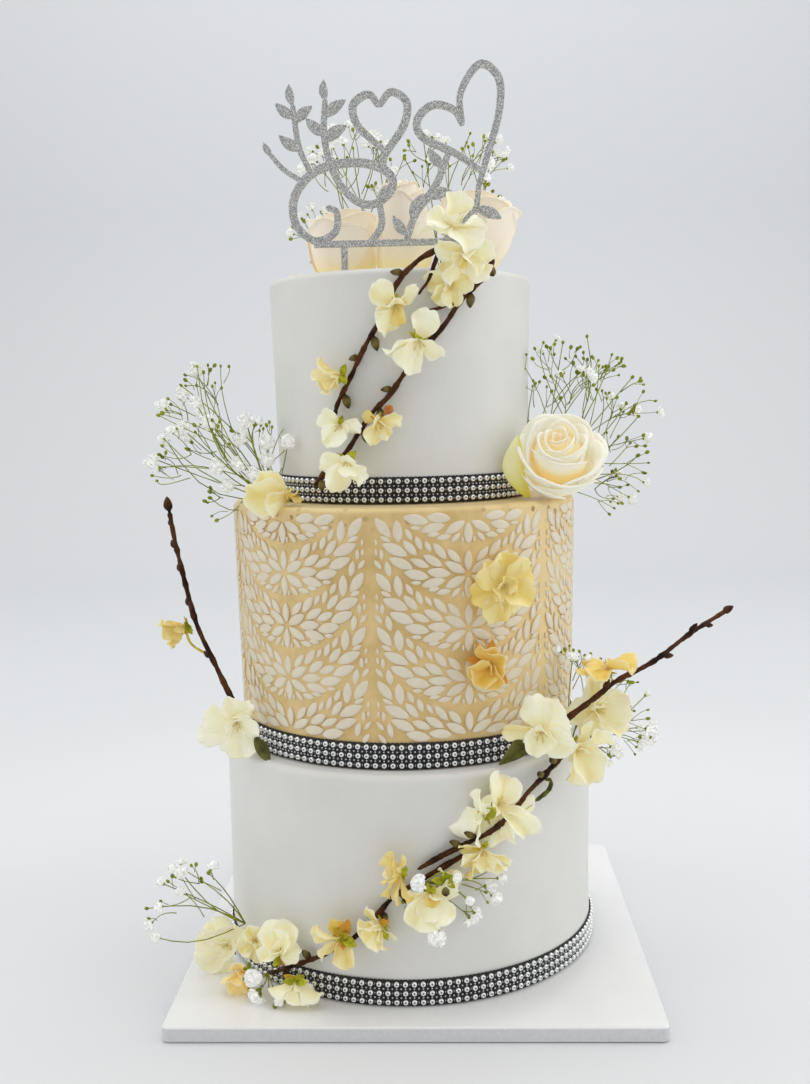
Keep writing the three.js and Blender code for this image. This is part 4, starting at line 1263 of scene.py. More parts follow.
def pointed_leaf(length, width, curl, wave, rows=11, cols=7):
    """The middle surface of a pointed leaf along +Y: folded at its midrib, curling and wavy."""
    u, v = petal_grid(rows, cols)
    half = width / 2 * (0.04 + 0.96 * np.sin(np.pi * (0.04 + 0.94 * u) ** 0.85))
    up = 0.3 * half * np.abs(v) + curl * length * u**2 + wave * np.sin(FULL_TURN * u) * (0.4 + v)
    return np.stack([half * v, length * u, up], -1), u, v


# ------------------------------------------------------------------ blossoms
class Blossom(NamedTuple):
    """A silk blossom: its place, the length of its petals and the way it faces.

    A direction is [angle, lift] in degrees: an angle is in the front view, from +X towards +Z, and
    a lift is towards the front. A petal adds up to three numbers to its direction: its share of
    the length, its share of the breadth and its added yellow. `warm` and `white` are the shares of
    yellow and of white in every petal, `inner` is how many small petals there are within, and
    `gold` marks a golden blossom. A leaf adds its length and its share of brown to its direction.
    A bud adds its half width, which is negative for a dark bud and positive for an orange one.
    `stalk` gives the places of a thin green stalk.
    """

    place: list
    length: float
    face: list
    warm: float = 0.0
    white: float = 0.0
    inner: int = 3
    gold: bool = False
    petals: list = ()
    leaves: list = ()
    buds: list = ()
    stalk: list = ()


PETAL_SHARES = (1.0, 1.0, 0.0)
SILK, GREEN, THREAD, ORANGE, BROWN = range(5)
STALK_RADIUS = 0.8
LEAF_FACING = np.array([0.3, -1.0, 0.5])
# The blossoms whose cloth takes the yellow colour.
BLOSSOMS = {
    "top_a": Blossom([20.9, 444.5, 92], 20, [85, 24], white=0.75, inner=5, petals=[
        [98, 0, 1, 0.85], [-172, 14, 1, 0.9], [165, 24, 0.85], [-148, 34, 0.7],
        [-48, 36, 1.05, 1.1], [2, 2], [45, -14, 0.9]]),
    "top_b": Blossom([24.3, 431.5, 94], 19, [-70, 42], warm=0.04, white=0.4, petals=[
        [-126, 6, 1, 0.85, 0.1], [-76, 28, 1.05, 0.85], [-38, -4, 1.05, 0.7], [2, 10, 0.95],
        [158, 8, 0.9], [-100, 40, 0.6, 0.8, 0.5]]),
    "top_c": Blossom([21.3, 415, 86], 14, [-90, 62], warm=0.12, inner=1, petals=[
        [172, 6, 1.1], [12, -6], [-90, 8], [90, 0], [-140, 4]]),
    "upper_a": Blossom([0.4, 404, 90], 17, [-80, 40], warm=0.06, white=0.3, inner=1, petals=[
        [128, 6], [30, 14, 0.95, 0.9], [-163, 34, 0.85, 0.8], [-131, 6, 1.1, 0.9],
        [-72, 8, 0.75, 0.9, 0.5], [20, 30, 0.5, 0.8, 0.6]
    ], leaves=[[80, 30, 7, 0], [120, 40, 5, 0.3]]),
    "upper_b": Blossom([8.6, 384, 90], 19, [-95, 46], warm=0.02, white=0.6, inner=1, petals=[
        [70, 14, 0.95, 0.9], [-170, 16, 1.15, 1.1], [-142, 8, 1.1, 1.2], [-32, 14, 1, 0.8],
        [-102, -4, 1, 0.5]
    ], leaves=[[118, 34, 8, 0]]),
    "upper_c": Blossom([-20.5, 366, 88], 16, [-170, 12], warm=0.3, petals=[
        [142, 6], [-175, 20], [-125, 0], [170, -30], [-150, 40]
    ], leaves=[[62, 30, 8, 0], [-66, 30, 8, 0.1], [-100, 20, 6, 0]]),
    "upper_d": Blossom([-21.2, 338, 89], 15, [-110, 55], white=0.7, inner=1, petals=[
        [-8, 22, 0.95, 0.7], [-108, 18, 1.15], [-150, 12, 1.05], [150, 0, 0.9]
    ], leaves=[[98, 40, 6, 0], [60, 30, 5, 0.1]]),
    "upper_e": Blossom([-6.9, 339.5, 87], 15, [-70, 40], warm=0.2, petals=[
        [15, 10, 1.05, 0.6], [-118, 8, 1, 0.8], [-60, 14, 0.8, 0.8], [152, 10, 0.6, 1, 0.4],
        [-90, 34, 0.6, 0.8, 0.5]
    ], leaves=[[150, 30, 6, 0.8], [80, 30, 5, 1]
    ], buds=[[44, 24, 2.6]]),
    "upper_f": Blossom([-18.9, 317, 90], 17, [-80, 45], white=0.7, inner=1, petals=[
        [-125, 12, 1.15], [-30, 14, 1.05, 0.7], [172, 10, 0.95], [-82, 26, 0.85]
    ], leaves=[[42, 24, 10, 0], [140, 24, 8, 0]]),
    "ledge": Blossom([-41.5, 297, 97], 18, [-20, 50], warm=0.1, inner=0, petals=[
        [172, 22, 1.6, 0.8], [148, 2, 1.2], [-172, 44, 1.2, 0.7], [40, 50, 0.55, 1, 0.6],
        [-40, 46, 0.6, 1, 0.6], [100, 56, 0.5, 1, 0.4], [160, -20, 1.3]
    ], leaves=[[-10, 10, 7, 0.1]]),
    "mid_large": Blossom([30.7, 246.3, 114], 20, [0, 80], warm=0.5, inner=6, petals=[
        [95, 6], [40, 8, 1.05], [145, 8], [-32, 8], [-104, 14, 1.15, 0.8],
        [-165, 14, 1, 0.9, 0.25], [-70, 10, 0.9, 0.9, -0.2]]),
    "mid_small": Blossom([27, 201.5, 111], 15, [-140, 66], warm=0.3, inner=2, gold=True, petals=[
        [95, 38, 1.15], [20, 42, 1.15], [170, 40, 1.1], [-60, 42, 1.1], [-125, 36, 1.1]
    ], leaves=[[124, -4, 15, 1], [86, -6, 15, 1], [-50, 0, 14, 1], [165, 0, 14, 1]]),
    "left_tip": Blossom([-77, 215, 140], 17, [-150, 20], warm=0.55, petals=[
        [160, 10], [-120, 10], [-170, 40], [-95, 35], [-150, -30]
    ], leaves=[[-50, 20, 8, 0], [-80, 30, 7, 0]
    ], stalk=[[-77, 213, 140], [-70, 206, 138], [-60.5, 202, 132]]),
    "left": Blossom([-55.5, 163, 121], 20, [-60, 66], white=0.85, inner=4, petals=[
        [98, 16, 1, 0.8], [52, 8, 0.9, 0.6], [10, 16, 1.05, 0.9], [160, 10, 1, 0.9],
        [-82, 12, 1.15], [-152, 6, 1.25, 0.7], [-125, 0]]),
    "right_gold": Blossom([55.1, 195, 144], 17, [88, 4], inner=0, gold=True, petals=[
        [178, 10, 1.05], [2, 8, 1.1], [176, 52], [4, 52], [172, -36, 0.9], [8, -36, 0.9]
    ], leaves=[[-110, 30, 7, 0.1], [-70, 20, 6, 0]]),
    "right_front": Blossom([38.6, 163.5, 127], 22, [-120, 66], white=0.65, inner=5, petals=[
        [104, 2, 1, 0.85], [38, 22], [-24, 24], [-112, 24, 0.7], [178, 6, 1.1, 0.5, 0.35],
        [70, -6, 0.95]]),
    "right_back": Blossom([58.7, 167.5, 132], 21, [20, 60], warm=0.04, white=0.35, inner=4,
        petals=[
        [105, 0, 1.05, 0.75], [172, 10, 0.95], [8, 10, 1.05], [-45, 14], [58, -4, 0.95],
        [-110, 10, 0.8]]),
    "right_low": Blossom([51.5, 149.5, 128], 20, [-70, 44], warm=0.06, white=0.35, inner=4,
        petals=[
        [24, 8, 1.05], [-20, 12, 1.1, 0.9], [-74, 10, 1.25, 0.8], [-112, 12, 1.15, 0.9],
        [-48, -8, 1.1], [60, 0, 0.9]
    ], leaves=[[150, 30, 8, 0.3]]),
    "low_a": Blossom([22, 119.5, 123], 16, [170, 30], white=0.9, inner=2, petals=[
        [102, 16, 1.1, 0.55], [-108, 22, 1.1, 0.55], [-126, 44, 0.8, 0.6], [92, 42, 0.85, 0.6],
        [-160, -6, 1.3, 0.9], [70, 8, 0.9, 0.5]
    ], leaves=[[56, 40, 15, 0], [85, 50, 9, 0]]),
    "low_b": Blossom([26.2, 123.3, 121], 20, [60, 50], warm=0.05, white=0.4, inner=1, petals=[
        [96, -2, 1, 1.2, 0.05], [64, -6, 0.9], [-40, 12, 1.3, 0.55, -0.1], [-108, 0, 1.15],
        [-68, -8, 1.1, 0.8], [-20, -10, 1.1, 0.8]
    ], leaves=[[165, 44, 11, 0], [150, 40, 8, 0.3], [-4, -16, 20, 0.1]]),
    "low_c": Blossom([21, 101.6, 125], 16, [-80, 40], warm=0.14, inner=2, petals=[
        [-152, 14, 1, 0.8], [-42, 20, 1.15, 0.8], [-8, 8, 1.15, 0.6], [-112, 4, 1.15, 0.9, 0.4],
        [168, 6, 0.9, 0.8, 0.3], [-75, 26, 0.8]
    ], leaves=[[170, 30, 8, 0.4]]),
    "low_gold": Blossom([-0.4, 90.8, 126], 15, [170, 20], warm=0.5, inner=4, petals=[
        [108, 12, 1, 0.6, 0.1], [136, 4, 0.95, 0.6], [78, 26, 0.85, 0.6], [-160, 24, 0.8, 0.6],
        [-128, 8, 1.05, 0.6, 0.2], [-102, 16, 1.1, 0.6], [-68, 8, 1.05, 0.6, 0.2],
        [160, 34, 0.8, 0.6, -0.2]
    ], leaves=[[62, 30, 9, 0]]),
    "low_d": Blossom([6.9, 79, 125], 18, [-75, 60], warm=0.04, white=0.3, inner=2, petals=[
        [-122, 16, 1.15, 1.1], [-62, 14, 1.15, 1.1], [-92, 28, 0.9], [172, 2, 0.85, 0.8],
        [8, 0, 0.85, 0.8], [-95, 50, 0.5, 1, 0.7]
    ], leaves=[[60, 20, 7, 0], [120, 20, 7, 0]]),
    "low_e": Blossom([-5.8, 60.8, 125], 15, [-150, 36], warm=0.2, petals=[
        [-152, 28], [-104, 16, 1.05], [166, 20], [120, -10, 0.9], [-60, -10, 0.9], [-175, -20, 0.9]
    ], leaves=[[-66, 20, 9, 0], [40, 20, 7, 1], [70, 20, 6, 1]]),
    "low_f": Blossom([-16.6, 51.5, 124], 15, [-80, 30], warm=0.32, inner=1, petals=[
        [160, 14, 1.15], [-160, 20, 1.1], [-70, 10, 1.15, 0.8], [-115, 14, 0.9, 0.9, 0.3],
        [110, 6, 0.8, 0.8, 0.5]
    ], leaves=[[72, 16, 15, 1], [120, 30, 11, 0.5], [165, 44, 9, 0.1], [-20, 34, 12, 0],
        [-75, 44, 8, 0.8], [40, 34, 8, 0.3]]),
    "low_g": Blossom([11, 85, 124], 8, [40, -30], warm=0.3, inner=1, petals=[
        [15, 0, 1.3], [60, -10], [-40, 0], [120, 0]
    ], leaves=[[100, 30, 9, 0], [30, 30, 9, 0], [165, 30, 10, 0], [-30, 30, 7, 0]
    ], buds=[[-90, 70, -2.4]]),
    "foot_a": Blossom([-58.5, 23, 129], 21, [95, 70], warm=0.03, white=0.65, inner=6, petals=[
        [78, 6, 1.05, 1.1], [120, 4], [168, 16, 1.05], [-150, 20, 0.95], [-112, 14, 0.9],
        [30, 16, 0.9]]),
    "foot_b": Blossom([-45.5, 19, 134], 14, [-120, 55], white=0.5, gold=True, petals=[
        [92, 40], [20, 45], [165, 36, 1.15, 1, -0.1], [-55, 42], [-125, 40, 1.1], [-90, 30]
    ], leaves=[[-60, 20, 10, 1], [-100, 24, 10, 1], [-140, 20, 9, 1]]),
    "foot_c": Blossom([-35, 34, 126], 17, [96, 24], warm=0.02, white=0.5, petals=[
        [130, 12, 1.1], [92, 4, 1.25, 1.1], [58, 12, 1.1], [-178, 30, 0.85, 0.9],
        [6, 30, 0.9, 0.9], [100, 50, 0.8]
    ], leaves=[[-130, 50, 9, 0], [-100, 30, 7, 1], [-60, 40, 7, 0.9]]),
    "foot_d": Blossom([-28.5, 24, 131], 15, [-90, 8], white=0.4, inner=2, petals=[
        [-168, 14, 1.1, 0.8], [-14, 14, 1.2, 0.8], [-88, 40, 0.9], [-125, 0], [-55, 0]
    ], leaves=[[168, 34, 9, 0.1], [10, 34, 10, 0], [150, 10, 8, 0.6], [40, 10, 7, 0.2]]),
    "foot_e": Blossom([-44, 37, 128], 12, [60, 60], warm=0.1, petals=[
        [120, 14], [40, 14], [-160, 20], [-40, 14], [-100, 10]
    ], leaves=[[-30, 40, 9, 0]]),
}


def blossom_patches(blossom, thick, seed):
    """A silk blossom: its petals, smaller ones within, sepals behind and stamens in the throat."""
    rng = np.random.default_rng(seed)
    centre = place_points([blossom.place])[0]
    face = view_direction(*blossom.face)
    length = blossom.length
    rows = []
    for angle, lift, *shares in blossom.petals:
        share, broad, warm = *shares, *PETAL_SHARES[len(shares):]
        rows.append((view_direction(angle, lift), share * rng.uniform(0.96, 1.06), broad, warm))
    inner = np.arange(blossom.inner) * 2.1 + rng.uniform(0, FULL_TURN)
    axes = axes_of(face, hint=(0.21, -0.4, 0.9))
    for turn in inner:
        ring = np.cos(turn) * axes[0] + np.sin(turn) * axes[1]
        rows.append((unit(ring + rng.uniform(0.5, 1.1) * face), rng.uniform(0.5, 0.66), 1.0, 0.0))
    patches = []
    for way, share, broad, warm in rows:
        facing = unit(face - (face @ way) * way)
        facing = unit(facing + rng.uniform(-0.35, 0.35) * np.cross(way, facing))
        full = length * share
        middle, masks = blossom_petal(
            full, full * broad * rng.uniform(0.9, 1.06), start=rng.uniform(10, 34),
            end=rng.uniform(-42, 18), cup=rng.uniform(0.1, 0.4),
            ruffle=full * rng.uniform(0.06, 0.12), phase=rng.uniform(0, FULL_TURN),
            twist=rng.uniform(-0.5, 0.5),
        )
        middle = centre + middle @ np.stack([np.cross(way, facing), way, facing])
        warmth = np.clip(blossom.warm + warm + rng.uniform(0, 0.06), 0, 1)
        masks["edge"] = np.clip(masks["edge"] + blossom.white, 0, 1)
        patches.append(thin_sheet(middle[None], thick, SILK, warmth=warmth, **masks))
    patches += sepal_patches(centre, axes, length, thick, rng)
    patches += stamen_patches(centre, axes, length, rng)
    if blossom.stalk:
        path = smooth_path(place_points(blossom.stalk), 6)
        rings = tube(path[None], np.full((1, len(path)), STALK_RADIUS), 8)
        patches.append(skin(rings, GREEN, warmth=0.3))
    for angle, lift, long, brown in blossom.leaves:
        way = view_direction(angle, lift)
        facing = unit(LEAF_FACING - way * (way @ LEAF_FACING))
        middle, u, _ = pointed_leaf(long, long * 0.5, 0.15, 0.5)
        middle = centre + middle @ np.stack([np.cross(way, facing), way, facing])
        patches.append(thin_sheet(middle[None], thick, GREEN, warmth=brown * (0.6 + 0.4 * u)))
    for angle, lift, half in blossom.buds:
        way, wide = view_direction(angle, lift), abs(half)
        finish = ORANGE if half > 0 else BROWN
        patches.append(bud_patch(centre + way * 2.4 * wide, way, 2.6 * wide, 2 * wide, finish))
    return patches


def sepal_patches(centre, axes, length, thick, rng):
    """A green cup behind the petals and five pointed sepals spread round it."""
    cup = np.array([[0.35, -0.62], [0.55, -0.5], [0.95, -0.3], [1.1, -0.1], [0.6, 0.05]]) * 2.2
    patches = [skin((centre + turned(cup, 8) @ axes)[None], GREEN)]
    size = 0.34 * length
    down = np.array([0.0, 0.0, -1.0])
    for turn in np.arange(5) * FULL_TURN / 5 + rng.uniform(0, 1):
        middle, u, _ = pointed_leaf(size, size * 0.5, 0.12, 0.1)
        out = np.array([np.cos(turn), np.sin(turn), 0.0])
        local = middle @ np.stack([np.cross(out, down), unit(out + 0.15 * down), down])
        middle = centre + (local + 0.9 * down) @ axes
        patches.append(thin_sheet(middle[None], thick, GREEN, warmth=0.25 * u))
    return patches


def stamen_patches(centre, axes, length, rng):
    """Threads that fan from the throat and bend outwards as a square, each with a small head."""
    count = 7
    spread = rng.uniform(0.12, 0.55, count)
    turn = np.arange(count) * 2.4 + rng.uniform(0, 1)
    reach = 0.34 * length * rng.uniform(0.8, 1.15, count)
    part = np.linspace(0, 1, 6)[None, :, None]
    way = np.stack([np.cos(turn) * spread, np.sin(turn) * spread, np.ones(count)], -1)
    paths = unit(way)[:, None] * reach[:, None, None] * part
    paths = paths + np.stack([np.cos(turn), np.sin(turn), 0 * turn], -1)[:, None] * part**2 * 0.6
    radius = np.array([0.2, 0.16, 0.16, 0.16, 0.36, 0.26])[None]
    rings = tube(paths @ axes + centre, np.repeat(radius, count, 0), 5)
    return [skin(rings, THREAD, along=part)]


class CAKE_OT_blossoms(bpy.types.Operator):
    """Set the silk blossoms along the twigs"""

    bl_idname = "cake.blossoms"
    bl_label = "Blossoms"

    def execute(self, context):
        thick = context.scene.cake_sizes.petal / MM
        for seed, (name, blossom) in enumerate(BLOSSOMS.items()):
            silk = "gold_silk" if blossom.gold else "cream_silk"
            finishes = (silk, "leaf_green", "stamen", "orange_bud", "twig_bud")
            patches = blossom_patches(blossom, thick, seed + 100)
            add_piece(f"silk_{name}", patches, finishes, [f"blossom_{name}"])
        return {"FINISHED"}


# ------------------------------------------------------------------ roses
# A rose's petals from the heart outwards, each [turn, radius, rim height, half wrap, flare, roll]:
# angles in degrees, the radius, flare and roll as shares of the rose's radius, and the rim height
# as a share of its own.
BUD_PETALS = [
    [0, 0.1, 0.93, 175, 0, 0.005], [140, 0.24, 0.95, 140, 0, 0.01],
    [265, 0.38, 0.97, 120, 0, 0.015], [40, 0.52, 0.99, 104, 0, 0.02],
    [165, 0.64, 1, 96, 0, 0.02], [285, 0.75, 0.99, 90, 0.02, 0.03],
    [70, 0.83, 0.97, 84, 0.04, 0.03], [200, 0.88, 0.95, 82, 0.06, 0.04],
    [310, 0.92, 0.9, 78, 0.08, 0.04], [245, 0.95, 0.84, 72, 0.12, 0.05],
    [20, 0.94, 0.86, 70, 0.16, 0.05], [130, 0.94, 0.84, 70, 0.14, 0.05],
]
OPEN_PETALS = [
    [30, 0.05, 0.98, 175, 0, 0.004], [160, 0.11, 0.99, 150, 0, 0.008],
    [285, 0.17, 1, 135, 0, 0.01], [50, 0.24, 1, 118, 0, 0.012],
    [178, 0.31, 1, 108, 0, 0.014], [300, 0.38, 0.99, 104, 0, 0.016],
    [75, 0.44, 0.98, 96, 0, 0.018], [205, 0.5, 0.97, 92, 0, 0.02],
    [322, 0.55, 0.93, 88, 0.01, 0.022], [100, 0.59, 0.93, 84, 0.01, 0.024],
    [252, 0.62, 0.86, 80, 0.01, 0.028], [12, 0.66, 0.84, 70, 0.04, 0.03],
    [140, 0.68, 0.88, 70, 0.05, 0.03], [70, 0.74, 0.84, 66, 0.1, 0.03],
    [192, 0.78, 0.76, 66, 0.12, 0.045], [255, 0.8, 0.62, 66, 0.2, 0.05],
    [330, 0.8, 0.68, 60, 0.18, 0.046], [120, 0.82, 0.74, 56, 0.12, 0.046],
    [215, 0.88, 0.5, 62, 0.1, 0.05], [285, 0.92, 0.44, 66, 0.06, 0.05],
    [350, 0.87, 0.62, 52, 0.16, 0.046],
]


class Rose(NamedTuple):
    """A rose: its foot, axis, radius and height, and the angle it is turned by.

    `flare` is how much of its petals' own flare it takes, `taper` how far its wall leans in at the
    rim, and `root` and `core` are the radii of its wall's root and of its core as shares of the
    radius.
    """

    base: list
    axis: list
    radius: float
    height: float
    spin: float
    flare: float
    taper: float
    core: float
    root: float = 0.66
    petals: list = BUD_PETALS
    finish: str = "peach_petal"


ON_CAKE = CAKE_TOP + 0.8
ROSES = {
    "rose_top_left": Rose([-32, -8, ON_CAKE], [-0.12, 0, 1], 22, 40, 0, 0.5, 0.08, 0.78),
    "rose_top_centre": Rose([3, -16, ON_CAKE], [0, -0.08, 1], 21, 56, 25, 0.2, 0.42, 0.78),
    "rose_top_right": Rose([43, -12, ON_CAKE], [0.2, 0, 1], 20, 49, -35, 1.5, 0, 0.72),
    "rose_side": Rose([94.5, -39, 305], [-0.05, -0.75, 0.66], 24.5, 35, 0, 1, 0, 0.6, 0.45,
                      OPEN_PETALS, "rose_petal"),
}
CURL_FROM = 0.84  # the part of a rose petal's height from which it rolls outwards
CROWDED = 0.63  # the radius within which the open rose's petals crowd together
LOOSE_PETAL = {"place": [-59.5, -12.0, CAKE_TOP + 2.2], "length": 21.0, "width": 17.0}


def rose_petal_patch(rose, axes, k, row, rng):
    """One cupped petal of a rose, wrapped round its axis.

    Up the petal its distance from the axis grows as a sine from a share of its radius, with the
    cube of the way up times its flare added, and one side stands a little further out than the
    other. Its last part is an arc that rolls outwards. Its rim falls to the sides as a power and
    waves as a sine.
    """
    turn, radius, rim, wrap, flare, roll = row
    size, root = rose.radius, rose.root
    u, v = petal_grid(22, 29)
    wall, curl = np.minimum(u / CURL_FROM, 1), np.clip((u - CURL_FROM) / (1 - CURL_FROM), 0, 1)
    out = size * radius * (root + (1 - root) * np.sin(np.pi / 2 * np.clip(wall / 0.6, 0, 1)))
    out = out * (1 + 0.08 * v) + size * flare * rose.flare * wall**3
    out = out + size * 0.05 * radius * wall * np.abs(v) ** 6
    out = out + size * 0.032 * wall**3 * np.sin(3.4 * v + 1.7 * k + rng.uniform(-1, 1))
    spread = 0.5 + 0.5 * np.sin(np.pi / 2 * np.clip(wall * 1.6, 0, 1))
    angle = np.radians(turn + rose.spin + wrap * v * spread)
    out = out * (1 + 0.05 * np.sin(2 * angle + k)) * (1 - rose.taper * wall**2)
    crest = 1 - 0.27 * np.abs(v) ** 2.4 + 0.03 * np.exp(-((v / 0.2) ** 2))
    crest = crest + 0.032 * np.sin(5.0 * v + 2.3 * k)
    level = rose.height * rim * wall * (1 + (crest - 1) * wall**2)
    arc = np.radians(140) * curl
    bend = size * roll * (1 - 0.5 * v**4)
    out = out + bend * (1 - np.cos(arc))
    level = level + bend * np.sin(arc)
    middle = np.stack([out * np.cos(angle), out * np.sin(angle), level], -1) @ axes + rose.base
    # Where petals crowd, their deep root colour reaches further up and the heart is warm: painted
    # shade and a painted glow between the inner petals.
    crowded = radius < CROWDED and rose.core < CROWDED
    rise = np.clip((wall - 0.6) / 0.4, 0, 1) if crowded else wall
    along = 0.12 + 0.62 * rise + 0.26 * curl
    heart = np.clip(1 - radius / 0.5, 0, 1) * crowded
    warmth = 0.55 * heart * (1 - curl) + 0.04 * rng.random()
    masks = {"along": along, "across": v, "fold": 0.35 - 0.35 * curl, "warmth": warmth}
    return thin_sheet(middle[None], 1.1 if crowded else 0.8, **masks)


def rose_patches(rose, seed):
    """A rose: its petals, and a rounded core that fills the crowded heart between them, painted
    deep and glowing.
    """
    rng = np.random.default_rng(seed)
    facing_front = abs(rose.axis[2]) < 0.7
    axes = axes_of(rose.axis, hint=(0, 0, 1) if facing_front else (0, 1, 0))
    patches = [rose_petal_patch(rose, axes, k, row, rng) for k, row in enumerate(rose.petals)]
    arc = np.pi / 2 * np.linspace(0.02, 1.0, 9)
    wide = rose.core * rose.radius * (1 - 1.4 * rose.taper)
    core = np.stack([wide * np.sin(arc), rose.height * (0.56 + 0.34 * np.cos(arc))], -1)
    core = np.vstack([core, [wide * 0.6, rose.height * 0.06]])
    rings = turned(core, 24) @ axes + rose.base
    # Painted shade and glow: the core takes the heart's deep colour and glow.
    patches.append(skin(rings[None], along=0.25, warmth=0.25))
    return patches


class CAKE_OT_roses(bpy.types.Operator):
    """Set the roses and a loose petal on the top, and the open rose on the ledge"""

    bl_idname = "cake.roses"
    bl_label = "Roses"

    def execute(self, context):
        for seed, (name, rose) in enumerate(ROSES.items()):
            patches = rose_patches(rose, seed + 40)
            add_piece(f"bloom_{name}", patches, (rose.finish,), [name])
        length = LOOSE_PETAL["length"]
        middle, masks = blossom_petal(
            length, LOOSE_PETAL["width"], start=4, end=-16, cup=0.34, ruffle=0.9, phase=2.0
        )
        lying = unit(np.array([[-0.25, -0.95, 0.0], [-0.95, 0.25, 0.06], [0.0, 0.0, 1.0]]))
        middle = (middle - [0, length / 2, 0]) @ lying + LOOSE_PETAL["place"]
        patch = thin_sheet(middle[None], 0.6, warmth=0.02, **masks)
        add_piece("loose_petal", [patch], ("peach_petal",))
        return {"FINISHED"}


# ------------------------------------------------------------------ leaves
class Leaf(NamedTuple):
    """A single leaf: its root, the ways it runs and faces, its length and width, and its finish.

    `warm` is how warm its finish is and `side` how much warmer its right half is. `wave` is the
    height of its waves and `bow` how far its middle bows aside.
    """

    place: list
    way: list
    face: list
    length: float
    width: float
    finish: str
    warm: float
    side: float
    wave: float = 0.8
    bow: float = 0.0


LEAVES = {
    "leaf_left": Leaf([-49, 155, 116], [-60, 12], [30, 60], 17, 8, "dark_leaf", 0.1, 0.3),
    "leaf_right": Leaf([38, 161, 121], [-138, 10], [120, 60], 26, 10, "dark_leaf", 0.0, 0.5,
                       bow=1.0),
    "leaf_rose": Leaf([52, 293, 96], [97, -2], [-140, 60], 37, 14, "guard_petal", 0.1, 0.9,
                      wave=1.6, bow=6.0),
}


class CAKE_OT_leaves(bpy.types.Operator):
    """Set the single leaves and the rose's guard petal"""

    bl_idname = "cake.leaves"
    bl_label = "Leaves"

    def execute(self, context):
        for name, leaf in LEAVES.items():
            way = view_direction(*leaf.way)
            facing = view_direction(*leaf.face)
            facing = unit(facing - (facing @ way) * way)
            middle, u, v = pointed_leaf(leaf.length, leaf.width, 0.1, leaf.wave, 19, 13)
            middle = middle + np.sin(np.pi * u)[..., None] * [-leaf.bow, 0.0, 0.0]
            middle = middle @ np.stack([np.cross(way, facing), way, facing])
            middle = middle + place_points([leaf.place])[0]
            warmth = leaf.warm + leaf.side * np.clip(v, 0, 1) ** 1.5
            patch = thin_sheet(middle[None], 0.6, along=u, across=v, fold=0.4, warmth=warmth)
            add_piece(f"green_{name}", [patch], (leaf.finish,), [name])
        return {"FINISHED"}


# ------------------------------------------------------------------ baby's breath
class Spray(NamedTuple):
    """A spray of baby's breath.

    Its root, how many shoots a stem has and how many twiglets a shoot, the share of ends that
    carry a floret rather than a bud, the [across, up, ahead] of its main stems' tips from the
    root, and its full double florets as the [x, y, z, radius] of each.
    """

    root: list
    shoots: int
    florets: float
    tips: list
    twiglets: int = 2
    balls: list = ()


STEM, FLORET = range(2)
FLORET_SIZE = 4.6
SPRAYS = {
    "breath_top_left": Spray(
        [-14, 22, CAKE_TOP + 1], shoots=3, florets=0.5,
        tips=[[-48, 42, -4], [-40, 76, 6], [-30, 94, -8], [-14, 84, 10], [0, 90, -4],
              [8, 66, 6], [-40, 22, 4]],
    ),
    "breath_top_right": Spray(
        [28, 22, CAKE_TOP + 1], shoots=3, florets=0.42,
        tips=[[-24, 78, 4], [-12, 92, -6], [4, 82, 8], [18, 94, -4], [32, 80, 6],
              [32, 58, -6]],
    ),
    "breath_left": Spray(
        [-80, -38, TOP_FOOT + 1], shoots=4, twiglets=1, florets=0.08,
        tips=[[-73, 21, -4], [-62, 38, 6], [-60, 59, -6], [-51, 70, 4], [-40, 81, 8],
              [-43, 42, 6], [-12, 46, 4], [2, 44, -4], [14, 30, -12], [-36, 2, 4]],
        balls=[[-122, -42, 372, 4.6], [-132, -34, 358, 4.4], [-122, -44, 352, 4.2],
               [-132, -40, 337, 4.6], [-143, -38, 331, 4], [-150, -40, 319, 3.6],
               [-114, -46, 340, 5], [-120, -36, 346, 4.4], [-92, -46, 341, 4.8],
               [-96, -38, 331, 5.2], [-80, -46, 328, 4.8], [-110, -46, 314, 5],
               [-97, -48, 315, 5], [-88, -46, 309, 4.8], [-80, -44, 317, 4.6],
               [-105, -44, 302, 4.4], [-66, -52, 328, 4.2]],
    ),
    "breath_right": Spray(
        [86, -12, TOP_FOOT + 1], shoots=4, florets=0.14,
        tips=[[-4, 66, -4], [14, 92, 6], [30, 96, -6], [44, 84, 4], [56, 70, 8],
              [62, 46, -6], [60, 22, 4], [50, 2, -4], [24, 74, 8], [54, 54, -4]],
    ),
    "breath_right_low": Spray(
        [100, -56, MIDDLE_FOOT + 1], shoots=3, florets=0.35,
        tips=[[2, 56, -4], [14, 48, 6], [30, 50, -6], [44, 30, 4], [40, 8, -4], [24, -2, 4]],
    ),
    "breath_low_left": Spray(
        [-98, -72, BOARD_TOP + 30], shoots=2, twiglets=1, florets=0.3,
        tips=[[-34, 38, 10], [-46, 30, 12], [-57, 14, 10], [-20, 34, 6]],
        balls=[[-133, -84, 76, 3.8], [-134, -84, 64, 3], [-150, -84, 36, 3]],
    ),
    "breath_low_centre": Spray(
        [13, -122, 84], shoots=2, twiglets=1, florets=0.3,
        tips=[[40, 0, -6], [33, -8, -6], [24, -22, -6], [7, -24, -6], [-5, -20, -4]],
        balls=[[9.2, -134, 88.8, 4.8], [18.5, -134, 57.5, 5.2], [30, -130, 90, 2.6],
               [37, -128, 76, 2.5]],
    ),
    "breath_low_front": Spray(
        [-80, -102, 22], shoots=2, florets=0.12,
        tips=[[-4, -6, 8], [7, -9, 14], [-10, 2, 6]],
        balls=[[-87, -112, 24, 5], [-72, -118, 13, 2.8]],
    ),
}


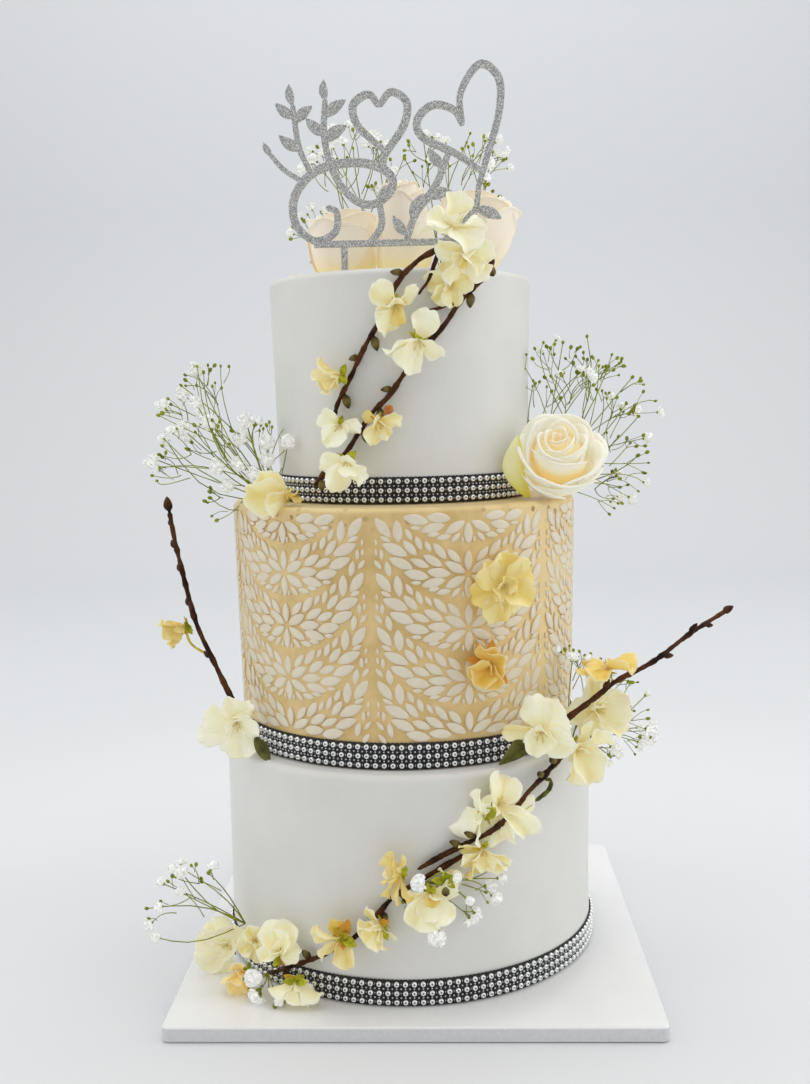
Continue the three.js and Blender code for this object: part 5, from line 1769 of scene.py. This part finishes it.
def spray_lines(spray, seed):
    """Every stem of a spray as a root, a bow and a tip: main stems, shoots and their twiglets.

    Shoots leave a stem on alternate sides, and their length is the stem's length beyond that
    place, so all the tips end near one envelope. Twiglets leave the shoots in the same way.
    """
    rng = np.random.default_rng(seed)
    root = np.array(spray.root, float)
    tips = root + np.array(spray.tips, float)[:, [0, 2, 1]] * [1, -1, 1]
    level = [(np.repeat(root[None], len(tips), 0), tips, 1.0)]
    for first, count in ((0.38, spray.shoots), (0.45, spray.twiglets)):
        starts, stops, scale = level[-1]
        run = stops - starts
        part = rng.uniform(first, 0.9, (len(starts), count, 1))
        base = starts[:, None] + run[:, None] * part
        length = np.linalg.norm(run, axis=1)[:, None, None] * (1 - part)
        length = length * rng.uniform(0.75, 1.05, part.shape) + 2.0
        side = np.where(np.arange(count) % 2, 1.0, -1.0)[None, :, None]
        lean = side * rng.uniform(0.35, 0.8, part.shape)
        ahead = unit(run)[:, None]
        swing = rng.normal(0, 0.35, ahead[..., 0].shape)
        beside = np.stack([-ahead[..., 2], swing, ahead[..., 0]], -1)
        way = unit(ahead + lean * beside + rng.normal(0, 0.1, (len(starts), count, 3)))
        level.append((base.reshape(-1, 3), (base + way * length).reshape(-1, 3), 0.75 * scale))
    ends = np.concatenate([stops for _, stops, _ in level])
    return level, ends, rng


def floret_rings(ends, ways, size, rng):
    """Rings of small flat petals: two whorls and a pair in their midst make a floret of an end."""
    outer, inner = 7, 5
    lean = np.concatenate([np.full(outer, 72.0), np.full(inner, 38.0), [4.0, 12.0]])
    turn = np.concatenate([np.arange(outer) / outer, np.arange(inner) / inner + 0.1, [0.0, 0.5]])
    shape = len(ends), len(lean)
    lean = np.radians(lean + rng.uniform(-14, 14, shape))
    turn = turn * FULL_TURN + rng.uniform(0, FULL_TURN, (len(ends), 1))
    turn = turn + rng.uniform(-0.2, 0.2, shape)
    out = np.stack([np.cos(turn), np.sin(turn), np.zeros_like(turn)], -1)
    up = np.array([0.0, 0.0, 1.0])
    way = np.sin(lean)[..., None] * out + np.cos(lean)[..., None] * up
    facing = np.sin(lean)[..., None] * up - np.cos(lean)[..., None] * out
    side = np.cross(way, facing)
    row = np.array([[0.06, 0.14], [0.45, 0.42], [0.82, 0.5], [1.0, 0.22]])
    full = size[:, None] * rng.uniform(0.8, 1.15, shape)
    length = row[:, 0] * full[..., None]
    across = row[:, 1] * full[..., None]
    curl = 0.22 * row[:, 0] ** 2 * full[..., None]
    spine = way[:, :, None] * length[..., None] + facing[:, :, None] * curl[..., None]
    corner = np.array([[1, 0], [0, 1], [-1, 0], [0, -1]], float)
    wide = across[..., None, None] * corner[:, :1] * side[:, :, None, None]
    deep = 0.14 * corner[:, 1:] * facing[:, :, None, None]
    rings = spine[..., None, :] + wide + deep
    axes = axes_of(ways, hint=(0.3, 0.9, 0.31))
    rings = ends[:, None, None, None] + rings @ axes[:, None, None]
    return rings.reshape(-1, *rings.shape[2:])


def bud_rings(ends, ways, size, tall, sides=6):
    """Rings of egg-shaped buds at every end."""
    arc = np.linspace(0.1, np.pi - 0.1, 5)[:, None]
    spin = whole_turn(sides)
    local = np.stack(
        [np.sin(arc) * np.cos(spin), np.sin(arc) * np.sin(spin),
         -np.cos(arc) * tall * np.ones(sides)], -1,
    )
    axes = axes_of(ways, hint=(0.3, 0.9, 0.31))
    return ends[:, None, None] + (local * size[:, None, None, None]) @ axes[:, None]


def spray_patches(spray, stem, seed):
    """A spray of baby's breath: bowed stems, green buds, and white florets in green cups."""
    level, ends, rng = spray_lines(spray, seed)
    patches = []
    part = np.linspace(0, 1, 6)[None, :, None]
    ways = []
    for starts, stops, scale in level:
        run = stops - starts
        bow = rng.normal(0, 0.09, run.shape) * np.linalg.norm(run, axis=1, keepdims=True)
        paths = starts[:, None] + run[:, None] * part + bow[:, None] * np.sin(np.pi * part)
        ways.append(unit(run - bow))
        radius = np.linspace(stem * scale, stem * scale * 0.7, 6)[None]
        patches.append(skin(tube(paths, np.repeat(radius, len(paths), 0), 5), STEM))
    ways = np.concatenate(ways)
    floret = rng.random(len(ends)) < spray.florets
    along = np.array([0.0, 0.5, 0.85, 1.0])[:, None]
    if floret.any():
        size = FLORET_SIZE * rng.uniform(0.7, 1.15, floret.sum())
        rings = floret_rings(ends[floret], ways[floret], size, rng)
        patches.append(skin(rings, FLORET, along=along))
        core = ends[floret] + ways[floret] * size[:, None] * 0.36
        rings = bud_rings(core, ways[floret], size * 0.5, 0.85, 8)
        patches.append(skin(rings, FLORET, along=0.9))
    if spray.balls:
        balls = np.array(spray.balls, float)
        run = balls[:, :3] - spray.root
        bow = rng.normal(0, 0.08, run.shape) * np.linalg.norm(run, axis=1, keepdims=True)
        paths = balls[:, None, :3] - run[:, None] * (1 - part) + bow[:, None] * np.sin(np.pi * part)
        patches.append(skin(tube(paths, np.full((len(balls), 6), stem * 0.8), 5), STEM))
        whorls = np.repeat(balls, 5, 0)
        facing = unit(rng.normal(size=(len(whorls), 3)) + [0, -1.2, 0.3])
        rings = floret_rings(whorls[:, :3], facing, whorls[:, 3] * 0.98, rng)
        patches.append(skin(rings, FLORET, along=along))
        rings = bud_rings(balls[:, :3], facing[::5], balls[:, 3] * 0.62, 1.0, 10)
        patches.append(skin(rings, FLORET, along=0.8))
    size = np.where(floret, 0.95, 1.05) * rng.uniform(0.75, 1.25, len(ends))
    patches.append(skin(bud_rings(ends, ways, size, 1.25), STEM))
    return patches


class CAKE_OT_sprays(bpy.types.Operator):
    """Set the sprays of baby's breath"""

    bl_idname = "cake.sprays"
    bl_label = "Baby's breath"

    def execute(self, context):
        stem = context.scene.cake_sizes.stem / MM
        finishes = ("spray_stem", "spray_floret")
        for seed, (name, spray) in enumerate(SPRAYS.items()):
            patches = spray_patches(spray, stem, seed + 300)
            add_piece(f"spray_{name}", patches, finishes, [name])
        return {"FINISHED"}


# ------------------------------------------------------------------ board and stage
class CAKE_OT_board(bpy.types.Operator):
    """Wrap the board"""

    bl_idname = "cake.board"
    bl_label = "Board"

    def execute(self, context):
        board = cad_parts["cake_board"]
        board.data.materials.clear()
        board.data.materials.append(finish_called("board_paper"))
        return {"FINISHED"}


CAMERA = {
    "place": (0.028585, -0.768652, 0.344231),
    "right": (0.9992093, 0.0347161, -0.0193798),
    "up": (0.0155402, 0.1076420, 0.9940683),
    "ahead": (-0.0365962, 0.9935834, -0.1070174),
    "lens": 40.12,
}
SKY_STRENGTH = 0.613  # even white light from all round
# Each soft light: its place, the point it faces, its width and height, and its power.
LIGHTS = {
    "left_box": ((-1.25, -0.25, 0.8), (0, 0, 0.25), 1.2, 1.4, 3.45),
    "right_box": ((1.25, -0.20, 0.8), (0, 0, 0.25), 1.2, 1.4, 5.15),
    "top_box": ((0.0, -0.1, 1.9), (0, 0, 0.2), 1.6, 1.4, 6.5),
    "wall_box": ((0.0, 0.9, 3.0), (0, 2.6, 1.2), 3.0, 0.8, 28.8),
}


def sweep_sheet():
    """A floor that curves up into a wall far behind: its profile is carried straight across."""
    floor, radius, back, cols = -0.2, 900.0, 1700.0, 9
    bend = np.linspace(0, np.pi / 2, 17)
    curve = np.stack([back + radius * np.sin(bend), radius * (1 - np.cos(bend)) + floor], -1)
    profile = np.vstack([[[-3500.0, floor], [-1200.0, floor]], curve, [[back + radius, 4200.0]]])
    across = np.linspace(-4000, 4000, cols)
    points = np.stack(
        [np.repeat(across[None], len(profile), 0), np.repeat(profile[:, :1], cols, 1),
         np.repeat(profile[:, 1:], cols, 1)], -1,
    )
    row, col = np.arange(len(profile) - 1)[:, None] * cols, np.arange(cols - 1)[None]
    faces = np.stack([row + col, row + col + 1, row + cols + col + 1, row + cols + col], -1)
    return points.reshape(-1, 3) * MM, faces.reshape(-1, 4)


class CAKE_OT_stage(bpy.types.Operator):
    """Set the pale floor, the soft lights and the camera"""

    bl_idname = "cake.stage"
    bl_label = "Stage"

    def execute(self, context):
        scene = context.scene
        points, faces = sweep_sheet()
        mesh = bpy.data.meshes.new("stage_sweep")
        mesh.from_pydata(points, [], faces.tolist())
        mesh.polygons.foreach_set("use_smooth", [True] * len(faces))
        mesh.materials.append(finish_called("backdrop"))
        sweep = bpy.data.objects.new("stage_sweep", mesh)
        scene.collection.objects.link(sweep)
        for name, (place, target, width, height, power) in LIGHTS.items():
            light = bpy.data.lights.new(name, "AREA")
            light.shape, light.size, light.size_y = "RECTANGLE", width, height
            light.energy = power
            lamp = bpy.data.objects.new(name, light)
            back = unit(np.array(place) - np.array(target))
            across, up, _ = axes_of(back)
            lamp.matrix_world = pose_matrix(across, up, back, place)
            scene.collection.objects.link(lamp)
        camera = bpy.data.cameras.new("front_camera")
        camera.sensor_fit, camera.sensor_height = "VERTICAL", 36.0
        camera.lens, camera.clip_start = CAMERA["lens"], 0.01
        eye = bpy.data.objects.new("front_camera", camera)
        right, up, ahead = (np.array(CAMERA[key]) for key in ("right", "up", "ahead"))
        eye.matrix_world = pose_matrix(right, up, -ahead, CAMERA["place"])
        scene.collection.objects.link(eye)
        scene.camera = eye
        world = scene.world or bpy.data.worlds.new("World")
        scene.world = world
        world.use_nodes = True
        sky = world.node_tree.nodes["Background"]
        sky.inputs["Color"].default_value = (1.0, 1.0, 1.0, 1.0)
        sky.inputs["Strength"].default_value = SKY_STRENGTH
        scene.view_settings.view_transform = "Standard"
        return {"FINISHED"}


def pose_matrix(across, up, back, place):
    """The matrix of an object with these axes at a place."""
    columns = np.stack([across, up, back, np.array(place, float)], -1)
    return Matrix(np.vstack([columns, [0, 0, 0, 1]]).tolist())


# ------------------------------------------------------------------ panel and running
STEPS = (
    CAKE_OT_board, CAKE_OT_tiers, CAKE_OT_relief, CAKE_OT_ribbons, CAKE_OT_topper, CAKE_OT_twigs,
    CAKE_OT_roses, CAKE_OT_blossoms, CAKE_OT_leaves, CAKE_OT_sprays, CAKE_OT_stage,
)


class CAKE_PT_panel(bpy.types.Panel):
    """The cake's steps, sizes and colours"""

    bl_label = "Cake"
    bl_idname = "CAKE_PT_panel"
    bl_space_type = "VIEW_3D"
    bl_region_type = "UI"
    bl_category = "Cake"

    def draw(self, context):
        for group in (context.scene.cake_sizes, context.scene.cake_colours):
            for name in type(group).__annotations__:
                self.layout.prop(group, name)
        for step in STEPS:
            self.layout.operator(step.bl_idname)


CLASSES = (CakeSizes, CakeColours, CAKE_PT_panel, *STEPS)


def register():
    """Registers the classes and hangs the settings on the scene."""
    for cls in CLASSES:
        bpy.utils.register_class(cls)
    bpy.types.Scene.cake_sizes = bpy.props.PointerProperty(type=CakeSizes)
    bpy.types.Scene.cake_colours = bpy.props.PointerProperty(type=CakeColours)


def unregister():
    """Takes the settings and the classes away again."""
    del bpy.types.Scene.cake_colours
    del bpy.types.Scene.cake_sizes
    for cls in reversed(CLASSES):
        bpy.utils.unregister_class(cls)


def main():
    """Makes the cake, piece by piece."""
    register()
    for step in STEPS:
        group, name = step.bl_idname.split(".")
        getattr(getattr(bpy.ops, group), name)()


if __name__ == "__main__":
    main()
